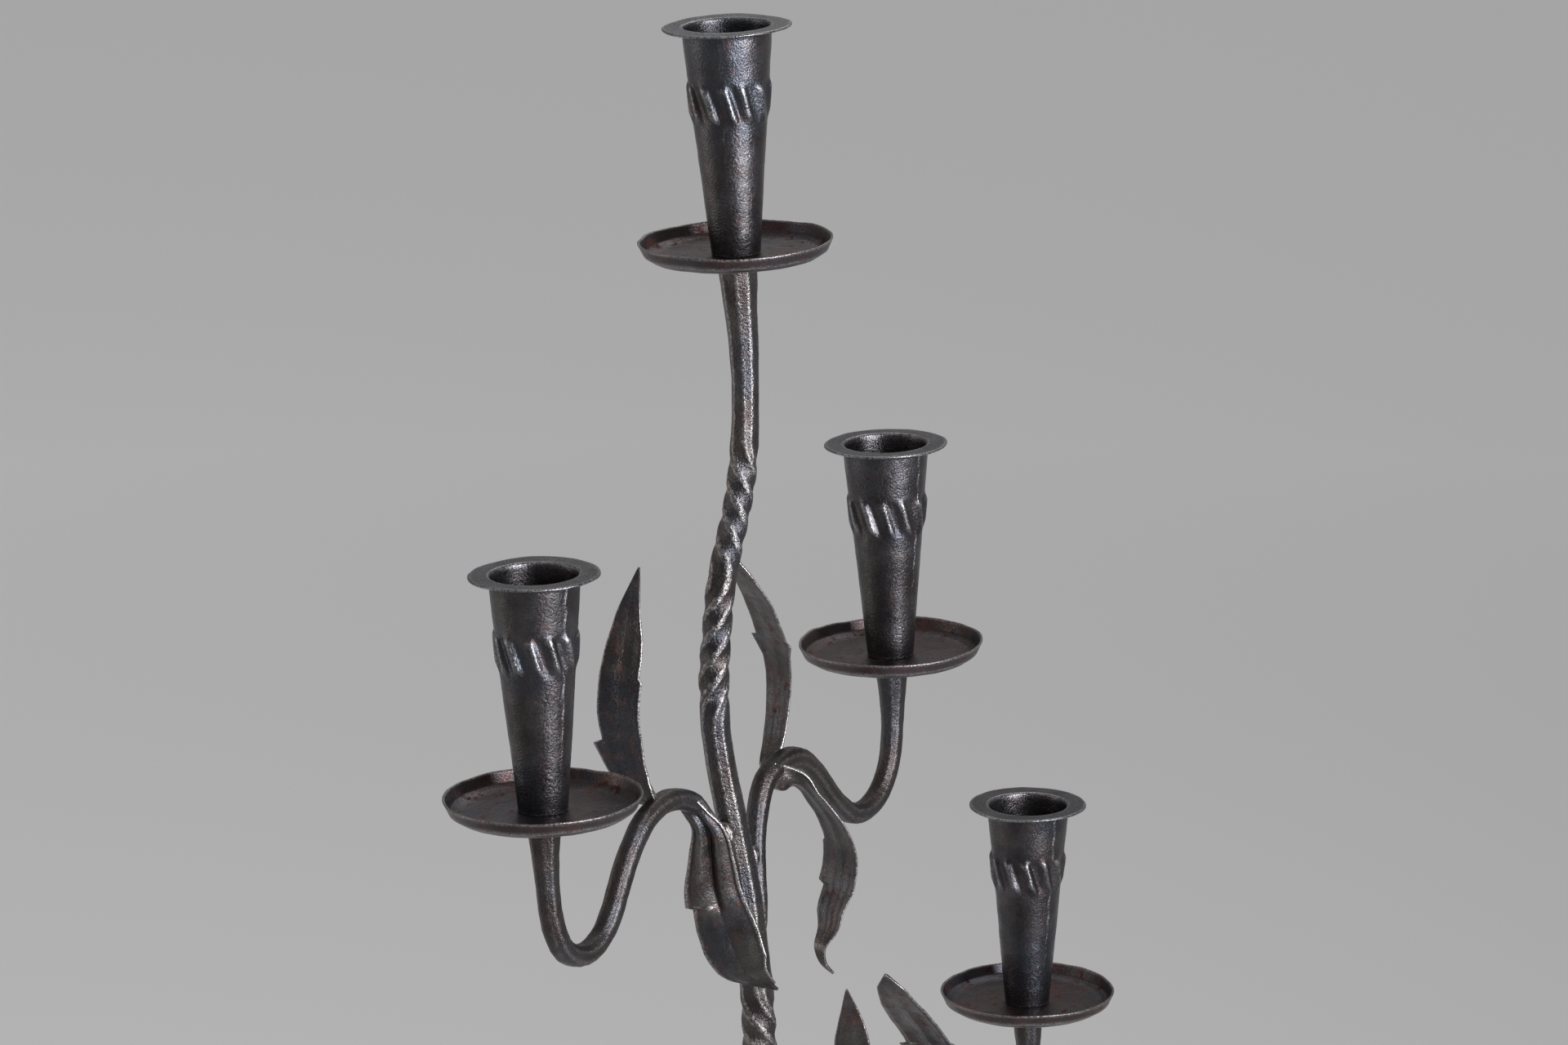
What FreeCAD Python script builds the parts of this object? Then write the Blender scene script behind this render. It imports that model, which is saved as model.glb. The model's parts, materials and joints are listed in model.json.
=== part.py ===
import FreeCAD, Part
import math
import os

import Sketcher
from FreeCAD import Placement, Rotation, Vector

# A hand-forged wrought-iron floor stand for five candles. One bent and twisted
# square bar stands on three forged legs and carries the top candle cup. Two
# pairs of scrolled arms are welded to its sides, each with a drip pan and a
# tapered cup on its end and cut sheet leaves on its bends.
# The origin is on the floor under the middle of the stand, +Z is up and the
# four arms lie in the XZ plane. All lengths are in millimetres.

SIZES = {
    # The three tiers: height of each bar shoulder and reach of each pair of arms
    "stem_height": 1134.6,
    "upper_height": 894.0,
    "lower_height": 661.0,
    "upper_reach": 162.0,
    "lower_reach": 311.0,
    # How far each arm dips below its own shoulder
    "upper_dip": 80.5,
    "lower_dip": 99.0,
    # Stem bar: how far it is bent out of line, and its width across flats
    "stem_sway": 20.0,
    "stem_neck_width": 12.6,
    "stem_base_width": 17.0,
    "stem_tip_height": 62.0,
    "stem_tip_width": 6.0,
    "stem_shoulder_width": 18.6,
    "stem_flare_length": 70.0,
    # Arm bars
    "arm_width": 10.8,
    "arm_tail_width": 5.0,
    "arm_tail_depth": 10.0,
    "arm_shoulder_width": 16.6,
    "arm_flare_length": 46.0,
    # Tenon forged on each bar end, riveted over inside the cup
    "tenon_diameter": 8.0,
    "tenon_clearance": 0.2,
    "rivet_diameter": 12.5,
    "rivet_height": 2.8,
    # Drip pan
    "pan_sheet": 1.4,
    "pan_rim_diameter": 96.0,
    "pan_bend_diameter": 90.6,
    "pan_floor_diameter": 82.0,
    "pan_bend_height": 2.4,
    "pan_depth": 8.7,
    # Candle cup, its turned-out brim and the disc that closes its foot
    "cup_sheet": 1.5,
    "cup_height": 113.0,
    "cup_mouth_diameter": 45.0,
    "cup_foot_diameter": 24.0,
    "brim_diameter": 63.4,
    "brim_lip": 2.0,
    "disc_thickness": 1.6,
    "disc_clearance": 0.1,
    # Slanted pleats hammered round the cup
    "pleat_drop": 36.0,
    "pleat_length": 18.5,
    "pleat_width": 8.0,
    "pleat_height": 1.3,
    # Leaves cut from sheet, with a thicker welded root
    "leaf_sheet": 1.3,
    "leaf_root": 5.0,
    "leaf_fold": 2.2,
    "rising_leaf_length": 118.0,
    "rising_leaf_width": 22.5,
    "falling_leaf_length": 116.0,
    "falling_leaf_width": 28.0,
    "outer_leaf_length": 150.0,
    # Legs and their flattened feet
    "leg_reach": 245.0,
    "leg_height": 137.0,
    "leg_width": 14.0,
    "leg_root_width": 11.0,
    "foot_width": 30.0,
    "foot_thickness": 6.0,
    "sole_trim": 0.4,
    # Weld filler in the corners between bars
    "weld_width": 9.0,
    "base_weld_width": 28.0,
}

# How much of a bar's width its hammered corners take, and how much where it is twisted
CHAMFER_SHARE = 0.26
TWISTED_CHAMFER_SHARE = 0.15
PLEAT_COUNT = 12
PLEAT_SLANT = 15.0
PLEAT_ROOT_SHARE = 0.6
PLEAT_CREST_SHARE = 0.3
RIVET_CROWN_SHARE = 0.55
# A weld's place and size in shares of weld_width: how far its middle lies off the bar's
# face, how wide the crotch is where it starts, and how tall it is
WELD_SEAT_SHARE = 0.125
WELD_GAP_SHARE = 0.25
WELD_TALL_SHARE = 1.5
# How far the pan's inner corners lie inside its outer ones: shares of pan_sheet at the
# rim, at the bend inwards, at the bend upwards and at the floor
PAN_INNER_SHARES = (1.09, 0.79, 0.71, 0.26)
LEG_ANGLES = (-90.0, 30.0, 150.0)

# The stem's bends: share of stem_height, share of stem_sway
SWAY_SHARES = (
    (0.050, 0.00), (0.123, 0.00), (0.220, 0.06), (0.335, 0.18), (0.440, 0.36),
    (0.520, 0.66), (0.582, 0.92), (0.630, 1.00), (0.661, 0.925), (0.690, 0.755),
    (0.714, 0.57), (0.743, 0.25), (0.769, -0.06), (0.791, -0.26), (0.813, -0.285),
    (0.834, -0.21), (0.855, -0.08), (0.873, 0.14), (0.888, 0.37), (0.907, 0.53),
    (0.930, 0.61), (0.950, 0.59), (0.977, 0.48), (1.000, 0.357),
)
SWAY_ANGLE = -30.0

# The stem's thickness: share of stem_height, share from neck width to base width
GIRTH_SHARES = (
    (0.05, 1.0), (0.12, 1.0), (0.44, 0.77), (0.70, 0.55), (0.77, 0.36),
    (0.80, 0.25), (0.86, 0.09), (0.91, 0.0), (1.0, 0.0),
)

# The two reverse twists: share of stem_height, share of the full twist
TWIST_ANGLE = 405.0
TWIST_SHARES = (
    (0.0, 0.0), (0.555, 0.0), (0.608, 1.0), (0.661, 0.0),
    (0.805, 0.0), (0.858, 1.0), (0.911, 0.0), (1.0, 0.0),
)
TWIST_STEP = 22.5
# Where the corners are sharp: share of stem_height, share of the way to a twisted bar's
SHARP_SHARES = (
    (0.540, 0.0), (0.565, 1.0), (0.651, 1.0), (0.676, 0.0),
    (0.790, 0.0), (0.815, 1.0), (0.901, 1.0), (0.926, 0.0),
)
PLAIN_STEP_SHARE = 0.018

# Swelling where a bar widens to its shoulder: share of flare length, share of swelling
FLARE_SHARES = ((0.0, 1.0), (0.17, 0.75), (0.47, 0.28), (0.74, 0.07), (1.0, 0.0))

# Arm centre lines from the weld outwards: share of the reach, share of the dip below
# the shoulder
UPPER_LEFT_SHARES = (
    (0.055, 0.881), (0.125, 0.536), (0.185, 0.376), (0.265, 0.299), (0.36, 0.283),
    (0.455, 0.340), (0.54, 0.484), (0.60, 0.649), (0.652, 0.814), (0.715, 0.948),
    (0.80, 1.0), (0.895, 0.928), (0.955, 0.732), (0.985, 0.402),
)
UPPER_RIGHT_SHARES = (
    (0.110, 0.856), (0.133, 0.722), (0.172, 0.567), (0.232, 0.428), (0.32, 0.366),
    (0.415, 0.381), (0.50, 0.490), (0.575, 0.655), (0.655, 0.814), (0.735, 0.923),
    (0.83, 0.948), (0.93, 0.876), (0.993, 0.711), (1.012, 0.484), (1.012, 0.237),
)
LOWER_SHARES = (
    (0.065, 1.38), (0.10, 1.15), (0.15, 0.92), (0.215, 0.69), (0.29, 0.49),
    (0.37, 0.375), (0.455, 0.35), (0.535, 0.42), (0.61, 0.56), (0.68, 0.73),
    (0.745, 0.89), (0.815, 0.985), (0.885, 0.99), (0.945, 0.88), (0.985, 0.68),
    (1.004, 0.42),
)
# The tail that lies along the stem: share of the stem's width, share of the dip
UPPER_TAIL_SHARES = ((0.40, 1.34), (0.62, 1.165), (0.76, 1.02))
LOWER_TAIL_SHARES = ((0.40, 1.88), (0.62, 1.72), (0.78, 1.55))
BODY_SHARE = 0.30
PLANE_POWER = 4
SPAN_STEPS = 3

# Which way the lights lean in plan, and for each one its degrees off plumb and its
# cup's height as a share of cup_height
LEAN_ANGLE = 121.6
LIGHTS = {
    "top": (2.3, 1.0),
    "upper_left": (1.6, 1.03),
    "upper_right": (1.6, 1.0),
    "lower_left": (0.4, 1.0),
    "lower_right": (0.4, 1.0),
}
ARMS = {
    "upper_left": (-1, "upper", UPPER_LEFT_SHARES, UPPER_TAIL_SHARES),
    "upper_right": (1, "upper", UPPER_RIGHT_SHARES, UPPER_TAIL_SHARES),
    "lower_left": (-1, "lower", LOWER_SHARES, LOWER_TAIL_SHARES),
    "lower_right": (1, "lower", LOWER_SHARES, LOWER_TAIL_SHARES),
}

# Leaf bends in shares of the leaf's length from its root on the arm: away from the
# stem, towards the back of the stand, up
LEFT_RISING_SHARES = (
    (0.0, 0.0, 0.0), (0.040, 0.030, 0.020), (0.085, 0.075, 0.070), (0.105, 0.097, 0.150),
    (0.129, 0.107, 0.274), (0.151, 0.112, 0.402), (0.151, 0.111, 0.508), (0.138, 0.107, 0.611),
    (0.114, 0.101, 0.728), (0.091, 0.096, 0.845), (0.059, 0.091, 0.936), (0.035, 0.086, 1.012),
)
RIGHT_RISING_SHARES = (
    (0.0, 0.0, 0.0), (0.051, 0.065, -0.003), (0.102, 0.086, 0.074), (0.144, 0.093, 0.204),
    (0.141, 0.088, 0.353), (0.094, 0.084, 0.491), (0.020, 0.075, 0.619), (-0.061, 0.077, 0.746),
    (-0.145, 0.086, 0.861), (-0.211, 0.094, 0.956),
)
LEFT_FALLING_SHARES = (
    (0.0, 0.0, 0.0), (-0.025, -0.020, -0.045), (-0.058, -0.045, -0.110), (-0.099, -0.043, -0.261),
    (-0.130, -0.038, -0.399), (-0.161, -0.055, -0.522), (-0.190, -0.086, -0.646),
    (-0.207, -0.114, -0.738), (-0.234, -0.141, -0.804), (-0.286, -0.176, -0.854),
    (-0.362, -0.216, -0.905),
)
RIGHT_FALLING_SHARES = (
    (0.0, 0.0, 0.0), (0.070, -0.037, -0.031), (0.122, -0.071, -0.056), (0.169, -0.091, -0.104),
    (0.215, -0.111, -0.166), (0.263, -0.140, -0.248), (0.316, -0.159, -0.353), (0.345, -0.158, -0.455),
    (0.340, -0.149, -0.568), (0.300, -0.135, -0.676), (0.279, -0.132, -0.762),
    (0.239, -0.118, -0.847), (0.247, -0.130, -0.912), (0.277, -0.162, -0.963),
)
OUTER_RISING_SHARES = (
    (0.0, 0.0, 0.0), (0.025, 0.010, 0.045), (0.057, 0.012, 0.155), (0.045, 0.012, 0.290),
    (0.0, 0.012, 0.420), (-0.084, 0.010, 0.550), (-0.226, 0.011, 0.700), (-0.325, 0.008, 0.805),
    (-0.400, 0.003, 0.905),
)
INNER_RISING_SHARES = (
    (0.0, 0.0, 0.0), (0.0, 0.008, 0.060), (-0.015, 0.012, 0.160), (-0.045, 0.012, 0.290),
    (-0.070, 0.010, 0.420), (-0.090, 0.007, 0.555), (-0.115, 0.003, 0.715), (-0.157, 0.0, 0.840),
)

# Leaf outlines: share of the length from root to tip, share of the leaf's width from
# the midrib to the edge. Two rows close together make the step of a sawtooth
RISING_BACK_SHARES = (
    (0.0, 0.16), (0.04, 0.17), (0.11, 0.33), (0.20, 0.42), (0.325, 0.68), (0.337, 0.46),
    (0.44, 0.50), (0.58, 0.48), (0.70, 0.42), (0.81, 0.30), (0.93, 0.13), (1.0, 0.02),
)
RISING_FRONT_SHARES = (
    (0.0, 0.16), (0.035, 0.18), (0.09, 0.36), (0.15, 0.41), (0.40, 0.44), (0.57, 0.49),
    (0.582, 0.42), (0.65, 0.43), (0.73, 0.38), (0.82, 0.27), (0.92, 0.13), (1.0, 0.02),
)
SLIM_BACK_SHARES = (
    (0.0, 0.16), (0.08, 0.17), (0.22, 0.27), (0.40, 0.38), (0.46, 0.40), (0.535, 0.62),
    (0.547, 0.45), (0.70, 0.45), (0.80, 0.38), (0.92, 0.22), (1.0, 0.02),
)
SLIM_FRONT_SHARES = (
    (0.0, 0.16), (0.08, 0.17), (0.22, 0.30), (0.40, 0.42), (0.50, 0.50), (0.565, 0.60),
    (0.577, 0.47), (0.70, 0.46), (0.80, 0.38), (0.92, 0.22), (1.0, 0.02),
)
LEFT_FALLING_FRONT_SHARES = (
    (0.0, 0.22), (0.08, 0.26), (0.2, 0.33), (0.35, 0.42), (0.5, 0.50), (0.65, 0.56),
    (0.78, 0.53), (0.88, 0.36), (0.945, 0.22), (0.957, 0.11), (1.0, 0.02),
)
LEFT_FALLING_BACK_SHARES = (
    (0.0, 0.22), (0.08, 0.24), (0.2, 0.33), (0.35, 0.46), (0.44, 0.57), (0.495, 0.62),
    (0.507, 0.47), (0.60, 0.50), (0.70, 0.46), (0.79, 0.36), (0.88, 0.20), (1.0, 0.02),
)
RIGHT_FALLING_FRONT_SHARES = (
    (0.0, 0.24), (0.1, 0.25), (0.22, 0.34), (0.35, 0.42), (0.5, 0.46), (0.65, 0.42),
    (0.78, 0.30), (0.88, 0.14), (0.95, 0.08), (1.0, 0.02),
)
RIGHT_FALLING_BACK_SHARES = (
    (0.0, 0.24), (0.1, 0.25), (0.22, 0.30), (0.35, 0.36), (0.47, 0.40), (0.482, 0.46),
    (0.64, 0.54), (0.652, 0.38), (0.75, 0.36), (0.85, 0.20), (0.95, 0.08), (1.0, 0.02),
)
# Leaf cross-section: share from midrib to edge, share of the fold's height
FOLD_SHARES = ((-1.0, 0.0), (-0.45, 1.0), (0.0, 0.2), (0.45, 1.0), (1.0, 0.0))
LEAF_STEPS = 24
NEAR_SHARE = 0.02
ROOT_FADE_SHARE = 0.16
TIP_FADE_SHARE = 0.25

# Every leaf: its arm, share of the arm's length where it grows, bend, the angle in
# plan that its width lies at, the sizes it takes its length and width from, back edge
# and front edge
LEAVES = {
    "leaf_upper_left_rising": (
        "upper_left", 0.380, LEFT_RISING_SHARES, 72.0, "rising", "rising",
        RISING_BACK_SHARES, RISING_FRONT_SHARES,
    ),
    "leaf_upper_right_rising": (
        "upper_right", 0.321, RIGHT_RISING_SHARES, 72.0, "rising", "rising",
        SLIM_BACK_SHARES, SLIM_FRONT_SHARES,
    ),
    "leaf_upper_left_falling": (
        "upper_left", 0.297, LEFT_FALLING_SHARES, 72.0, "falling", "falling",
        LEFT_FALLING_BACK_SHARES, LEFT_FALLING_FRONT_SHARES,
    ),
    "leaf_upper_right_falling": (
        "upper_right", 0.287, RIGHT_FALLING_SHARES, 72.0, "falling", "falling",
        RIGHT_FALLING_BACK_SHARES, RIGHT_FALLING_FRONT_SHARES,
    ),
}
for hand in ("left", "right"):
    LEAVES["leaf_lower_" + hand + "_inner"] = (
        "lower_" + hand, 0.430, INNER_RISING_SHARES, 108.0, "rising", "rising",
        RISING_BACK_SHARES, RISING_FRONT_SHARES,
    )
    LEAVES["leaf_lower_" + hand + "_outer"] = (
        "lower_" + hand, 0.630, OUTER_RISING_SHARES, 95.0, "outer", "falling",
        SLIM_BACK_SHARES, SLIM_FRONT_SHARES,
    )
    LEAVES["leaf_lower_" + hand + "_falling"] = (
        "lower_" + hand, 0.330, LEFT_FALLING_SHARES, 72.0, "falling", "falling",
        LEFT_FALLING_BACK_SHARES, LEFT_FALLING_FRONT_SHARES,
    )

# Leg centre line in its own upright plane: share of leg_reach, share of leg_height
LEG_SHARES = (
    (0.015, 0.60), (0.050, 0.72), (0.105, 0.86), (0.175, 0.965), (0.26, 1.0),
    (0.36, 0.965), (0.465, 0.855), (0.565, 0.69), (0.655, 0.505), (0.735, 0.33),
    (0.805, 0.18),
)
# How many of the leg's last spans are hammered out into the foot, and the width of the
# foot's round end in shares of foot_width
FOOT_SPANS = 2
TOE_SHARES = (0.82, 0.5, 0.18, 0.0)
WELD_GIRTH_SHARES = ((0.0, 0.35), (0.2, 0.85), (0.5, 1.0), (0.8, 0.85), (1.0, 0.35))
BASE_WELD_SHARES = ((0.55, 0.82), (0.62, 1.0), (0.70, 1.0), (0.76, 0.82))

UP = Vector(0, 0, 1)
BACK = Vector(0, 1, 0)
OUT = Vector(1, 0, 0)
FULL_TURN = 360.0
QUARTER_TURN = 90.0

doc = FreeCAD.newDocument("candle_stand")
sheet = doc.addObject("Spreadsheet::Sheet", "Sizes")
for row, (alias, value) in enumerate(SIZES.items(), start=1):
    sheet.set("A" + str(row), alias)
    sheet.set("B" + str(row), str(value))
    sheet.setAlias("B" + str(row), alias)
doc.recompute()


# Reading sizes and tables

def size(alias):
    return float(sheet.get(alias))


def blend(low, high, share):
    return low + (high - low) * share


def table(rows, place):
    """The value of a table of (place, value) rows at a place, straight between rows."""
    if place <= rows[0][0]:
        return rows[0][1]
    for (a, low), (b, high) in zip(rows, rows[1:]):
        if place <= b:
            return blend(low, high, (place - a) / (b - a))
    return rows[-1][1]


def smooth_line(points, steps):
    """More points on the smooth curve that runs through the given ones."""
    chords = [(b - a).Length for a, b in zip(points, points[1:])]
    runs = [(b - a) * (1 / c) for a, b, c in zip(points, points[1:], chords)]
    slopes = [runs[0]]
    for before, after, near, far in zip(runs, runs[1:], chords, chords[1:]):
        slopes.append((before * far + after * near) * (1 / (near + far)))
    slopes.append(runs[-1])
    line = []
    for i, chord in enumerate(chords):
        for step in range(steps):
            u = step / steps
            line.append(
                points[i] * (2 * u**3 - 3 * u**2 + 1)
                + points[i + 1] * (3 * u**2 - 2 * u**3)
                + slopes[i] * (chord * (u**3 - 2 * u**2 + u))
                + slopes[i + 1] * (chord * (u**3 - u**2))
            )
    line.append(points[-1])
    return line


def tangents(line):
    ends = [line[0]] + line + [line[-1]]
    return [(after - before).normalize() for before, after in zip(ends, ends[2:])]


def lengths_along(line):
    marks = [0.0]
    for a, b in zip(line, line[1:]):
        marks.append(marks[-1] + (b - a).Length)
    return marks


# Forged square bars

def bar_section(centre, across, through, width, thickness, chamfer=CHAMFER_SHARE):
    """A square bar's cut face with hammered-down corners, as a closed wire."""
    corner = chamfer * min(width, thickness)
    w = width / 2
    t = thickness / 2
    outline = (
        (w, t - corner), (w - corner, t), (corner - w, t), (-w, t - corner),
        (-w, corner - t), (corner - w, -t), (w - corner, -t), (w, corner - t),
    )
    points = [centre + across * x + through * y for x, y in outline]
    return Part.makePolygon(points + points[:1])


def loft(sections):
    return Part.makeLoft(sections, True, True)


def flared(width, shoulder_width, distance, flare_length):
    return width + (shoulder_width - width) * table(FLARE_SHARES, distance / flare_length)


def tenon(place):
    """The round tenon on a bar's shoulder, riveted over on top of the cup's disc."""
    grip = size("pan_sheet") + size("disc_thickness")
    radius = size("tenon_diameter") / 2
    shank = Part.makeCylinder(radius, grip)
    crown = size("rivet_diameter") / 2
    head = Part.makeCone(crown, crown * RIVET_CROWN_SHARE, size("rivet_height"), Vector(0, 0, grip))
    shape = shank.fuse(head)
    shape.Placement = place
    return shape


# The stem's place, girth and turn at any height

def sway_line():
    height = size("stem_height")
    sway = size("stem_sway")
    direction = Rotation(UP, SWAY_ANGLE).multVec(OUT)
    points = [UP * (h * height) + direction * (s * sway) for h, s in SWAY_SHARES]
    return smooth_line(points, SPAN_STEPS)


SWAY_LINE = sway_line()


def stem_centre(z):
    for a, b in zip(SWAY_LINE, SWAY_LINE[1:]):
        if z <= b.z:
            return a + (b - a) * ((z - a.z) / (b.z - a.z))
    return SWAY_LINE[-1]


def stem_width(z):
    share = table(GIRTH_SHARES, z / size("stem_height"))
    width = blend(size("stem_neck_width"), size("stem_base_width"), share)
    drop = size("stem_height") - z
    return flared(width, size("stem_shoulder_width"), drop, size("stem_flare_length"))


def stem_heights():
    """Heights of the stem's sections, close together where it is twisted."""
    height = size("stem_height")
    shares = []
    for (low, turned), (high, turning) in zip(TWIST_SHARES, TWIST_SHARES[1:]):
        twist = abs(turning - turned) * TWIST_ANGLE
        count = max(round(twist / TWIST_STEP), math.ceil((high - low) / PLAIN_STEP_SHARE))
        shares += [blend(low, high, i / count) for i in range(count)]
    tip = size("stem_tip_height")
    waist = (FLARE_SHARES[1][0], FLARE_SHARES[2][0])
    flare = [height - size("stem_flare_length") * share for share in waist]
    first = LEG_SHARES[0][1] * size("leg_height")
    rows = [height * s for s in shares if height * s > first]
    return sorted([tip, first] + rows + flare + [height])


def light_place(name):
    """Where a bar's shoulder is, with +Z along the lean of its cup."""
    lean = Rotation(Rotation(UP, LEAN_ANGLE).multVec(BACK), LIGHTS[name][0])
    if name == "top":
        return Placement(SWAY_LINE[-1], lean)
    side, tier = ARMS[name][:2]
    base = OUT * (side * size(tier + "_reach")) + UP * size(tier + "_height")
    return Placement(base, lean)


def make_stem():
    top = light_place("top")
    sections = []
    for z in stem_heights():
        centre = stem_centre(z)
        turn = Rotation(UP, TWIST_ANGLE * table(TWIST_SHARES, z / size("stem_height")))
        width = stem_width(z)
        if z == size("stem_tip_height"):
            width = size("stem_tip_width")
        if z == size("stem_height"):
            turn = top.Rotation
        sharp = table(SHARP_SHARES, z / size("stem_height"))
        chamfer = blend(CHAMFER_SHARE, TWISTED_CHAMFER_SHARE, sharp)
        across = turn.multVec(OUT)
        sections.append(bar_section(centre, across, turn.multVec(BACK), width, width, chamfer))
    return loft(sections).fuse(tenon(top))


def arm_line(name):
    """An arm's centre line from its tail on the stem to its shoulder."""
    side, tier, rows, tail = ARMS[name]
    shoulder = light_place(name)
    reach = size(tier + "_reach")
    dip = size(tier + "_dip")
    points = []
    for width_share, drop in tail:
        centre = stem_centre(size(tier + "_height") - drop * dip)
        points.append(centre + OUT * (side * width_share * stem_width(centre.z)))
    for share, drop in rows:
        centre = stem_centre(size(tier + "_height") - drop * dip)
        x = blend(centre.x, side * reach, share)
        y = centre.y * max(0, 1 - share) ** PLANE_POWER
        points.append(Vector(x, y, centre.z))
    return smooth_line(points + [shoulder.Base], SPAN_STEPS)


def make_arm(name, stem):
    line = arm_line(name)
    marks = lengths_along(line)
    ways = tangents(line)
    shoulder = light_place(name)
    sections = []
    for point, way, mark in zip(line, ways, marks):
        across = way.cross(BACK).normalize()
        through = across.cross(way)
        swell = min(1, mark / (marks[-1] * BODY_SHARE))
        width = blend(size("arm_tail_width"), size("arm_width"), math.sqrt(swell))
        depth = blend(size("arm_tail_depth"), size("arm_width"), swell)
        left = marks[-1] - mark
        shoulder_width = size("arm_shoulder_width")
        width = flared(width, shoulder_width, left, size("arm_flare_length"))
        depth = flared(depth, shoulder_width, left, size("arm_flare_length"))
        if left == 0:
            across = shoulder.Rotation.multVec(OUT)
            through = shoulder.Rotation.multVec(BACK * -1)
            if ways[-1].cross(BACK).dot(across) < 0:
                across = across * -1
                through = through * -1
        sections.append(bar_section(point, across, through, width, depth))
    return loft(sections).fuse(tenon(shoulder)).cut(stem)


# Leaves

def leaf_line(name):
    """A leaf's midrib, from its root on the centre line of its arm."""
    arm, root_share, bend, facing, length_kind = LEAVES[name][:5]
    side = ARMS[arm][0]
    length = size(length_kind + "_leaf_length")
    line = arm_line(arm)
    marks = lengths_along(line)
    place = root_share * marks[-1]
    i = max(k for k, mark in enumerate(marks) if mark <= place)
    root = line[i] + (line[i + 1] - line[i]) * ((place - marks[i]) / (marks[i + 1] - marks[i]))
    points = [root + Vector(side * out, back, up) * length for out, back, up in bend]
    return smooth_line(points, SPAN_STEPS)


def at_share(line, marks, share):
    place = share * marks[-1]
    for a, b, low, high in zip(line, line[1:], marks, marks[1:]):
        if place <= high:
            return a + (b - a) * ((place - low) / (high - low))
    return line[-1]


def make_leaf(name, arm_shape):
    arm, root_share, bend, angle, length_kind, width_kind, back_edge, front_edge = LEAVES[name]
    side = ARMS[arm][0]
    line = leaf_line(name)
    marks = lengths_along(line)
    leaf_width = size(width_kind + "_leaf_width")
    facing = Rotation(UP, side * (angle - QUARTER_TURN)).multVec(BACK)
    shares = {i / LEAF_STEPS for i in range(LEAF_STEPS + 1)}
    teeth = {row[0] for edge in (back_edge, front_edge) for row in edge}
    shares = {s for s in shares if all(abs(s - tooth) > NEAR_SHARE for tooth in teeth)} | teeth
    sections = []
    for share in sorted(shares):
        centre = at_share(line, marks, share)
        before = at_share(line, marks, max(0, share - NEAR_SHARE))
        after = at_share(line, marks, min(1, share + NEAR_SHARE))
        way = (after - before).normalize()
        across = (facing - way * facing.dot(way)).normalize()
        outward = across.cross(way) * side
        if outward.x * side < 0:
            outward = outward * -1
        fade = min(1, share / ROOT_FADE_SHARE)
        thickness = blend(size("leaf_root"), size("leaf_sheet"), fade)
        fold = size("leaf_fold") * fade * min(1, (1 - share) / TIP_FADE_SHARE)
        face = []
        for reach, height in FOLD_SHARES:
            edge = back_edge if reach > 0 else front_edge
            width = abs(reach) * table(edge, share) * leaf_width
            centre_height = fold * height - thickness / 2
            face.append(centre + across * math.copysign(width, reach) + outward * centre_height)
        top = [point + outward * thickness for point in face]
        outline = face + top[::-1]
        sections.append(Part.makePolygon(outline + outline[:1]))
    return loft(sections).cut(arm_shape)


# Legs with round flattened feet

def make_leg(angle, stem):
    reach = size("leg_reach")
    half_foot = size("foot_width") / 2
    toe = reach - half_foot
    trim = size("sole_trim")
    sole = size("foot_thickness") / 2 - trim
    points = [Vector(out * reach, 0, up * size("leg_height")) for out, up in LEG_SHARES]
    heel = toe - half_foot
    points.append(Vector(heel, 0, size("foot_thickness")))
    line = smooth_line(points + [Vector(toe, 0, sole)], SPAN_STEPS)
    marks = lengths_along(line)
    ways = tangents(line)
    foot_start = marks[-1 - FOOT_SPANS * SPAN_STEPS]
    sections = []
    for point, way, mark in zip(line, ways, marks):
        across = way.cross(BACK).normalize()
        if point is line[-1]:
            across = UP
        swell = min(1, mark / (marks[-1] * BODY_SHARE))
        bar = blend(size("leg_root_width"), size("leg_width"), swell)
        spread = max(0, (mark - foot_start) / (marks[-1] - foot_start))
        thickness = blend(bar, size("foot_thickness"), spread)
        width = blend(size("leg_width"), size("foot_width"), spread ** 2)
        # A section may dip below the floor by the trim alone
        below = (thickness * abs(across.z) + bar * abs(across.x) * (1 - spread)) / 2 - trim - point.z
        centre = point + UP * max(0, below)
        sections.append(bar_section(centre, across, BACK, thickness, width))
    for share in TOE_SHARES:
        step = math.sqrt(1 - share**2) * half_foot
        width = max(share, TOE_SHARES[-2]) * size("foot_width")
        sections.append(bar_section(Vector(toe + step, 0, sole), UP, BACK, size("foot_thickness"), width))
    own_stem = stem.copy()
    own_stem.rotate(Vector(), UP, -angle)
    # The sole is filed flat on the floor
    wide = size("foot_width")
    corner = Vector(0, -wide, -size("foot_thickness"))
    floor = Part.makeBox(reach + wide, wide + wide, size("foot_thickness"), corner)
    return loft(sections).cut(own_stem).cut(floor)


# Weld filler

def make_weld(name, arm_shape, stem):
    """The filler in the crotch where an arm leaves the stem, laid from front to back."""
    side = ARMS[name][0]
    line = arm_line(name)
    width = size("weld_width")
    for point in line:
        gap = abs(point.x - stem_centre(point.z).x) - stem_width(point.z) / 2
        if gap > size("arm_width") / 2 + width * WELD_GAP_SHARE:
            break
    seat = stem_width(point.z) / 2 + width * WELD_SEAT_SHARE
    face = stem_centre(point.z) + OUT * (side * seat) - BACK * (size("arm_width") / 2)
    sections = []
    for share, girth in WELD_GIRTH_SHARES:
        centre = face + BACK * (size("arm_width") * share)
        tall = width * WELD_TALL_SHARE
        sections.append(bar_section(centre, OUT, UP, width * girth, tall * girth))
    return loft(sections).cut(stem).cut(arm_shape)


def make_base_weld(legs, stem):
    sections = []
    for up, girth in BASE_WELD_SHARES:
        z = up * size("leg_height")
        width = girth * size("base_weld_width")
        sections.append(bar_section(stem_centre(z), OUT, BACK, width, width))
    shape = loft(sections).cut(stem)
    for leg in legs:
        shape = shape.cut(leg)
    return shape


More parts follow.
